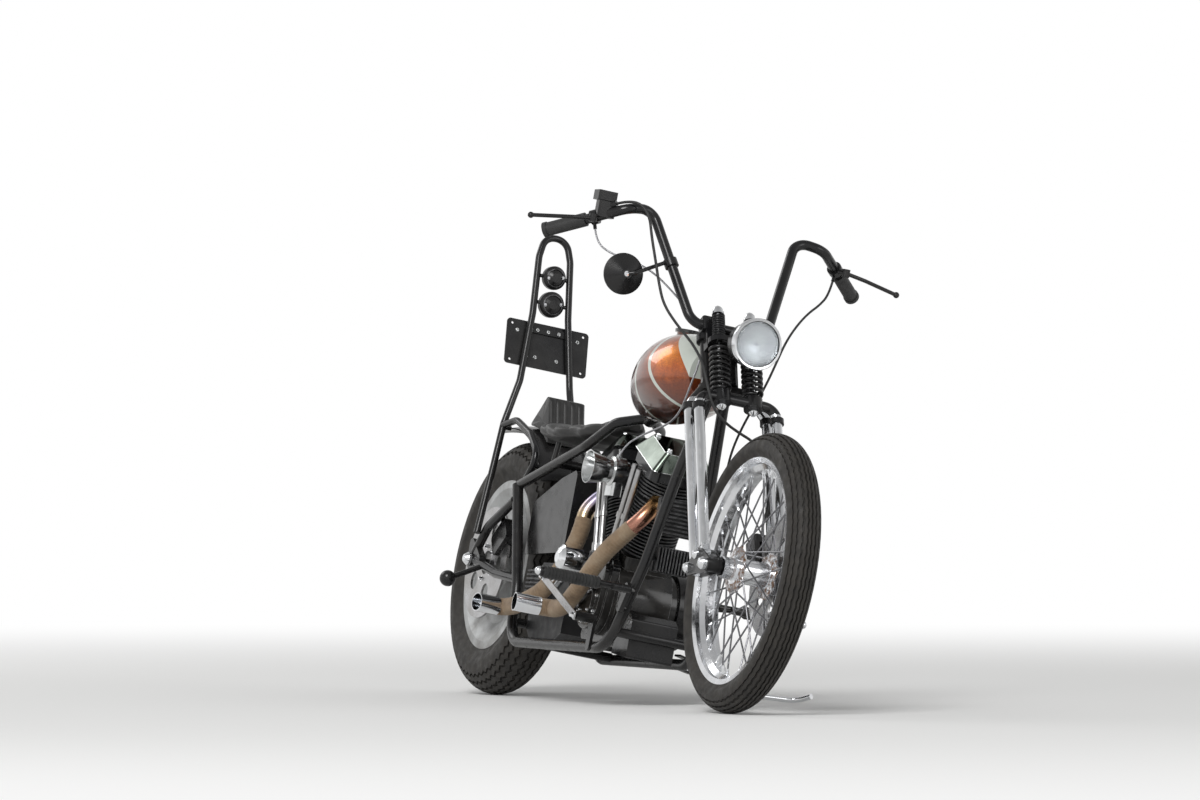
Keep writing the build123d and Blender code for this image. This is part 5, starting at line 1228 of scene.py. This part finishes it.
def closed_rows(rows):
    """Faces that join rings of equal length, with both ends closed on a middle point."""
    verts = [point for row in rows for point in row]
    wide = len(rows[0])
    faces = []
    for low in range(len(rows) - 1):
        for step in range(wide):
            after = (step + 1) % wide
            faces.append([low * wide + step, low * wide + after,
                          (low + 1) * wide + after, (low + 1) * wide + step])
    for row, flip in ((0, True), (len(rows) - 1, False)):
        middle = len(verts)
        verts.append(sum((Vector(point) for point in rows[row]), Vector()) / wide)
        for step in range(wide):
            after = (step + 1) % wide
            face = [row * wide + step, row * wide + after, middle]
            faces.append(face[::-1] if flip else face)
    return verts, faces


class CHOPPER_OT_seat(Operator):
    """Pad the seat with sewn rolls across it and the back pad with upright rolls"""
    bl_idname = "chopper.seat"
    bl_label = "Seat and back pad"

    def execute(self, context):
        """Shape both pads as crowned closed forms with seams between their rolls."""
        sizes = context.scene.chopper
        first, last = SEAT_SECTIONS[0][0], SEAT_SECTIONS[-1][0]
        rows = []
        for step in range(SEAT_STEPS + 1):
            x = first + (last - first) * step / SEAT_STEPS
            half, low, high = seat_section(x)
            fade = min(1.0, END_FADE * step / SEAT_STEPS, END_FADE * (1 - step / SEAT_STEPS))
            row = []
            for side in range(SEAT_SIDES):
                angle = 2 * math.pi * side / SEAT_SIDES
                across, up = math.cos(angle), math.sin(angle)
                y = half * math.copysign(abs(across) ** SIDE_POWER, across)
                z = (low + high) / 2 + (high - low) / 2 * math.copysign(abs(up) ** TOP_POWER, up)
                upper = max(0.0, min(1.0, 0.75 + up))
                phase = (x - SEAM_RUSH * (1 - max(up, SEAM_FOOT))) / sizes.roll_pitch
                rise = sizes.roll_height * (swell(phase) - ROLL_LEVEL) * upper * fade
                row.append(Vector((x, y + rise * across, z + rise * up)))
            rows.append(row[::-1])
        verts, faces = closed_rows(rows)
        seat = piece("seat_cushion", verts, faces, look("leather"), BODY, "seat_leather", ["seat_pad"], 50)
        self.back_pad(sizes)
        return {"FINISHED"}

    def back_pad(self, sizes):
        """Wedge pad with upright rolls on its front face."""
        corners = [Vector((x, 0, z)) for x, z in PAD_OUTLINE]
        ring = []
        for before, after in zip(corners, corners[1:] + corners[:1]):
            count = max(2, round((after - before).length / PAD_STEP))
            ring += [(before.lerp(after, key / count), key / count if before is corners[4] else None)
                     for key in range(count)]
        middle = sum((point for point, _ in ring), Vector()) / len(ring)
        front = Vector((corners[5].z - corners[4].z, 0, corners[4].x - corners[5].x)).normalized()
        rows = []
        for share in PAD_STATIONS:
            inset = PAD_EDGE * max(0.0, (abs(share) - 0.9) / 0.1) ** 2
            row = []
            for point, on_face in ring:
                place = Vector((point.x, share * PAD_HALF, point.z))
                place += (middle - point).normalized() * inset
                if on_face is not None:
                    fade = min(1.0, 8 * on_face, 8 * (1 - on_face)) * min(1.0, END_FADE * (1 - abs(share)))
                    phase = (share + 1) / 2 * PAD_ROLLS
                    place += front * sizes.roll_height * 0.8 * (swell(phase) - 0.2) * fade
                away = Vector((place.x - REAR_AXLE.x, 0, place.z - REAR_AXLE.z))
                if away.length < FENDER_TOP_R:
                    away = away.normalized() * FENDER_TOP_R
                    place.x, place.z = REAR_AXLE.x + away.x, REAR_AXLE.z + away.z
                row.append(place)
            rows.append(row)
        verts, faces = closed_rows(rows)
        faces = [face[::-1] for face in faces]
        pad = piece("back_cushion", verts, faces, look("leather"), BODY, "seat_leather", ["back_pad"], 50)


# Headlight: middle of its front rim
LAMP_AT = Vector((1.408, 0, 0.917))
LAMP_RING = [(0.0612, -0.013), (0.0638, -0.012), (0.0645, 0.0), (0.0618, 0.0048), (0.0570, 0.0045),
             (0.0570, 0.0036)]
LAMP_BOWL = [(0, -0.0188), (0.008, -0.0183), (0.022, -0.0143), (0.040, -0.0103), (0.0552, -0.0068),
             (0.0552, -0.0062), (0.040, -0.0095), (0.022, -0.0135), (0.008, -0.0175), (0, -0.018)]
LAMP_BULB = [(0, -0.0165), (0.0045, -0.0165), (0.0045, -0.0105), (0.003, -0.008), (0, -0.0072)]
# Tail lamps: middle and radius
TAIL_LAMPS = [((-0.112, 0, 1.100), 0.031), ((-0.096, 0, 1.029), 0.034)]
# Their lens as (share of the radius, less this, outwards), and the ring and screws behind it
LENS_PROFILE = [(0, 0, 0.0145), (1, 0.012, 0.0145), (1, 0.008, 0.018), (1, 0.007, 0.0215), (1, 0.011, 0.0262),
                (0.4, 0, 0.0282), (0, 0, 0.0288)]
RING_PROFILE = [(0.72, 0.006), (0.78, 0.006), (0.78, 0.0095), (0.72, 0.0105)]
SCREW_AT = (0.0105, 0.62, 0.12)
MIRROR_AT = Vector((1.112, -0.272, 1.042))
MIRROR_NUT_AT = MIRROR_AT + Vector((0.030, 0, 0))
MIRROR_FACE = [(0, -0.0012), (0.047, -0.0012), (0.048, -0.0002), (0.048, 0.0008), (0, 0.0008)]


def ring_faces(profile, steps):
    """A turned ring whose closed section never reaches the axis."""
    verts, faces = lathe(profile, steps)
    last = (len(profile) - 1) * steps
    for step in range(steps):
        after = (step + 1) % steps
        faces.append([last + step, last + after, after, step])
    return verts, faces


class CHOPPER_OT_lamps(Operator):
    """Turn the headlight's rim and bowl, the tail lamps' lenses and the mirror's glass"""
    bl_idname = "chopper.lamps"
    bl_label = "Lamps and mirror"

    def execute(self, context):
        """Make the bright and red pieces of the lamps."""
        forward = turn_to(LAMP_AT, (1, 0, 0))
        verts, faces = ring_faces(LAMP_RING, 72)
        piece("headlight_rim", [forward @ v for v in verts], faces, look("chrome"), FORK, "chrome")
        turned_piece("headlight_bowl", LAMP_BOWL, forward, look("chrome"), FORK, 64, slot="chrome")
        turned_piece("headlight_bulb", LAMP_BULB, forward, look("clear_glass"), FORK, 20, slot="lamp_glass")
        lenses, rings, screws = [], [], []
        for at, radius in TAIL_LAMPS:
            middle = Vector(at)
            profile = [(radius * share - less, out) for share, less, out in LENS_PROFILE]
            lenses.append((plain_mesh("lens", *lathe(profile, 40)), turn_to(middle, (-1, 0, 0))))
            section = [(radius * share, out) for share, out in RING_PROFILE]
            rings.append((plain_mesh("ring", *ring_faces(section, 48)), turn_to(middle, (1, 0, 0))))
            out, across, up = SCREW_AT
            for side in (1, -1):
                spot = middle + Vector((out, side * radius * across, side * radius * up))
                screws.append((spot, Vector((1, 0, 0))))
        settle("tail_lenses", joined("tail_lenses", lenses), look("red_lens"), BODY)
        settle("tail_lamp_rings", joined("tail_lamp_rings", rings), look("engine_black"), BODY)
        studs("tail_lamp_screws", screws, 0.003, 0.003, look("chrome"), BODY, 12)
        turned_piece("mirror_face", MIRROR_FACE, turn_to(MIRROR_AT, (1, 0, 0)), look("mirror_glass"), FORK,
                     64, slot="chrome")
        studs("mirror_nut", [(MIRROR_NUT_AT, (1, 0, 0))], 0.005, 0.004, look("chrome"), FORK)
        return {"FINISHED"}


# Rings of bolts: name, middle (from the axle on a wheel), radius of the ring, count, first angle, direction,
# radius and height of a head, and body
BOLT_RINGS = [
    ("rear_rotor_bolts", (0, -0.082, 0), 0.045, 5, 36, (0, -1, 0), 0.0055, 0.005, REAR),
    ("front_rotor_bolts", (0, 0.0643, 0), 0.037, 5, 36, (0, 1, 0), 0.005, 0.005, FRONT),
    ("cam_cover_screws", (0.850, -0.106, 0.248), 0.060, 9, 10, (0, -1, 0), 0.0042, 0.004, BODY),
    ("points_cover_screws", (0.858, -0.116, 0.246), 0.036, 4, 45, (0, -1, 0), 0.0035, 0.003, BODY),
    ("primary_screws", (0.850, 0.1503, 0.258), 0.076, 6, 30, (0, 1, 0), 0.0045, 0.004, BODY),
    ("clutch_cover_screws", (0.500, 0.1593, 0.262), 0.060, 6, 0, (0, 1, 0), 0.0045, 0.004, BODY)]
# Nuts on a rocker cover, along and across it
ROCKER_NUTS = [(-0.052, -0.044), (-0.052, 0.044), (0.052, -0.044), (0.052, 0.044)]
# Plate: its low middle, tilt, and the black strap across it, with bolts at (y, up the plate)
PLATE_LOW = Vector((-0.0576, 0, 0.855))
PLATE_TILT = math.radians(16.5)
STRAP_AT = 0.104
STRAP_HALF = 0.052
PLATE_BOLTS = [(-0.085, 0.095), (-0.062, 0.035), (0.085, 0.095), (0.062, 0.035), (-0.030, STRAP_AT),
               (0.0, STRAP_AT), (0.030, STRAP_AT), (-0.030, 0.030), (0.030, 0.030)]
# Front wheel: radius and distance from the middle at which the spokes leave the hub and meet the rim's well,
# how many cross on each side, and how far each runs round
HUB_R, HUB_OUT = 0.051, 0.043
RIM_WELL_R, WELL_OUT = 0.256, 0.005
SPOKE_PAIRS = 10
SPOKE_LEAN = math.radians(46)
# Pegs: x, z, inner and outer y, radius
PEG = (1.145, 0.277, 0.198, 0.347, 0.0142)
# Ridges of a peg's rubber, and the ball on its end
RIDGE_PITCH = 0.009
RIDGE = 0.0018
BALL_R = 0.0105
# Exhaust: ends of the strip, middle and direction of the clamp
STRIP = [Vector((0.626, -0.150, 0.292)), Vector((0.982, -0.184, 0.195))]
CLAMP_AT = Vector((0.6198, -0.122, 0.290))
CLAMP_WAY = Vector((-0.036, -0.026, -0.073))
# Fork collars: ahead and up the fork, radius of the leg, and how far the legs stand from the middle
COLLARS = [(0, 0.514, 0.0144), (0.056, 0.484, 0.0134)]
LEG_Y = 0.105


def box_between(start, end, wide, thick):
    """A flat bar between two points, its width upright and its thickness to the side."""
    way = (end - start).normalized()
    up = (Vector((0, 0, 1)) - way * way.z).normalized()
    out = way.cross(up)
    verts = []
    for point in (start - way * wide / 2, end + way * wide / 2):
        for rise, side in ((-1, -1), (1, -1), (1, 1), (-1, 1)):
            verts.append(point + up * rise * wide / 2 + out * side * thick / 2)
    faces = [[0, 1, 2, 3][::-1], [4, 5, 6, 7], [0, 1, 5, 4], [1, 2, 6, 5], [2, 3, 7, 6], [3, 0, 4, 7]]
    return verts, faces


class CHOPPER_OT_trim(Operator):
    """Set the bolt heads, nipples, collars, peg rubbers, plate strap and exhaust strip"""
    bl_idname = "chopper.trim"
    bl_label = "Trim"

    def execute(self, context):
        """Place each group of small pieces."""
        axles = {REAR: REAR_AXLE, FRONT: FRONT_AXLE}
        for name, middle, ring_r, count, first, way, radius, height, body in BOLT_RINGS:
            centre = axles.get(body, Vector()) + Vector(middle)
            places = []
            for key in range(count):
                angle = math.radians(first) + 2 * math.pi * key / count
                places.append((centre + Vector((math.cos(angle), 0, math.sin(angle))) * ring_r, way))
            studs(name, places, radius, height, look("chrome"), body)
        self.engine_studs()
        self.wheel_nipples()
        self.plate_trim()
        self.pegs()
        self.pipe_strip()
        self.collars()
        return {"FINISHED"}

    def engine_studs(self):
        """Cap nuts on the rocker covers."""
        places = []
        for lean in (1, -1):
            axis = Vector((lean * math.sin(V_HALF), 0, math.cos(V_HALF)))
            flat = Vector((axis.z, 0, -axis.x))
            for x, y in ROCKER_NUTS:
                places.append((CRANK + axis * ROCKER_TOP + flat * x + Vector((0, y, 0)), axis))
        studs("rocker_nuts", places, 0.006, 0.006, look("chrome"), BODY)

    def wheel_nipples(self):
        """Spoke nipples at the rim well."""
        places = []
        for side in (1, -1):
            for pair in range(SPOKE_PAIRS):
                for lean in (1, -1):
                    at_hub = 2 * math.pi * (pair + 0.25 * side + 0.12 * lean) / SPOKE_PAIRS
                    at_rim = at_hub + lean * SPOKE_LEAN
                    hub, rim = [
                        FRONT_AXLE + Vector((radius * math.cos(angle), side * out, radius * math.sin(angle)))
                        for radius, angle, out in ((HUB_R, at_hub, HUB_OUT), (RIM_WELL_R, at_rim, WELL_OUT))]
                    way = (hub - rim).normalized()
                    places.append((rim + way * 0.001, way))
        studs("spoke_nipples", places, 0.0036, 0.012, look("chrome"), FRONT, 8)

    def plate_trim(self):
        """Black strap across the plate, and its small pale bolts."""
        up = Vector((-math.sin(PLATE_TILT), 0, math.cos(PLATE_TILT)))
        out = Vector((math.cos(PLATE_TILT), 0, math.sin(PLATE_TILT)))
        places = []
        for y, rise in PLATE_BOLTS:
            lift = 0.0045 if rise == STRAP_AT else 0.0002
            places.append((PLATE_LOW + up * rise + out * lift + Vector((0, y, 0)), out))
        studs("plate_bolts", places, 0.0036, 0.0032, look("polished_alloy"), BODY)
        start = PLATE_LOW + up * STRAP_AT + out * 0.0023 + Vector((0, -STRAP_HALF, 0))
        end = start + Vector((0, 2 * STRAP_HALF, 0))
        verts, faces = box_between(start, end, 0.018, 0.004)
        middle = (start + end) / 2
        turn = Matrix.Translation(middle) @ Matrix.Rotation(-PLATE_TILT, 4, "Y") @ Matrix.Translation(-middle)
        piece("plate_strap", [turn @ v for v in verts], faces, look("black_enamel"), BODY, "black_paint",
              sharp=30)

    def pegs(self):
        """Ridged rubber over the pegs and a bright ball on each end."""
        x, z, inner, outer, radius = PEG
        sleeve = [(0, inner), (radius, inner)]
        at = inner
        while at + RIDGE_PITCH < outer:
            sleeve += [(radius + RIDGE, at + 0.002), (radius + RIDGE, at + 0.0062),
                       (radius + 0.0002, at + 0.0072), (radius + 0.0002, at + 0.0088)]
            at += RIDGE_PITCH
        sleeve += [(radius, outer), (0, outer)]
        ball = [(0, outer - 0.001)]
        for key in range(1, 12):
            angle = key * math.pi / 12
            ball.append((BALL_R * math.sin(angle), outer + BALL_R - BALL_R * math.cos(angle)))
        ball.append((0, outer + 2 * BALL_R))
        for name, profile, finish, sharp in (("peg_rubbers", sleeve, "grip_rubber", 30),
                                             ("peg_balls", ball, "chrome", 35)):
            shape = plain_mesh("peg", *lathe(profile, 36))
            pair = [(shape, turn_to(Vector((x, 0, z)), (0, side, 0), (0, 0, 1))) for side in (1, -1)]
            settle(name, joined(name, pair), look(finish), BODY, sharp=sharp)

    def pipe_strip(self):
        """Clamp on the rear pipe and the flat strip that ties it to the frame."""
        verts, faces = box_between(*STRIP, 0.020, 0.003)
        piece("exhaust_strip", verts, faces, look("turned_steel"), BODY, "chrome", sharp=30)
        profile = [(PIPE_R + 0.0014, -0.014), (PIPE_R + 0.0040, -0.012), (PIPE_R + 0.0040, 0.012),
                   (PIPE_R + 0.0014, 0.014)]
        verts, faces = ring_faces(profile, 48)
        turned = turn_to(CLAMP_AT, -CLAMP_WAY)
        piece("exhaust_clamp", [turned @ v for v in verts], faces, look("chrome"), BODY, "chrome")
        out = (STRIP[1] - STRIP[0]).cross(Vector((0, 0, 1))).normalized()
        places = [(STRIP[0] + out * 0.0015, out), (STRIP[1] + out * 0.0015, out)]
        studs("strip_bolts", places, 0.007, 0.007, look("chrome"), BODY)

    def collars(self):
        """Clamp collars where the fork legs turn from chrome to black."""
        rings = []
        for ahead, along, radius in COLLARS:
            for side in (1, -1):
                outer = radius + 0.004
                profile = [(radius, -0.008), (outer, -0.007), (outer, 0.007), (radius, 0.008)]
                collar = plain_mesh("collar", *ring_faces(profile, 36))
                rings.append((collar, turn_to(fork(ahead, side * LEG_Y, along), ALONG)))
        settle("fork_collars", joined("fork_collars", rings), look("black_enamel"), FORK)


OPERATORS = [CHOPPER_OT_stage, CHOPPER_OT_finishes, CHOPPER_OT_cables, CHOPPER_OT_tyres, CHOPPER_OT_springs,
             CHOPPER_OT_exhaust, CHOPPER_OT_seat, CHOPPER_OT_lamps, CHOPPER_OT_trim]


class CHOPPER_PT_panel(Panel):
    """Lists the steps that dress the machine."""
    bl_idname = "CHOPPER_PT_panel"
    bl_label = "Chopper"
    bl_space_type = "VIEW_3D"
    bl_region_type = "UI"
    bl_category = "Chopper"

    def draw(self, context):
        """Show the sizes and one button for each step."""
        sizes = context.scene.chopper
        for name in sizes.__annotations__:
            self.layout.prop(sizes, name)
        for operator in OPERATORS:
            self.layout.operator(operator.bl_idname)


CLASSES = [ChopperSizes, *OPERATORS, CHOPPER_PT_panel]


def register():
    """Add the classes, and the sizes to the scene."""
    for item in CLASSES:
        bpy.utils.register_class(item)
    bpy.types.Scene.chopper = PointerProperty(type=ChopperSizes)


def unregister():
    """Take the classes and the sizes away again."""
    del bpy.types.Scene.chopper
    for item in reversed(CLASSES):
        bpy.utils.unregister_class(item)


def main():
    """Build everything in order."""
    register()
    ring_tree()
    stud_tree()
    coil_tree()
    for operator in OPERATORS:
        group, action = operator.bl_idname.split(".")
        getattr(getattr(bpy.ops, group), action)()


if __name__ == "__main__":
    main()
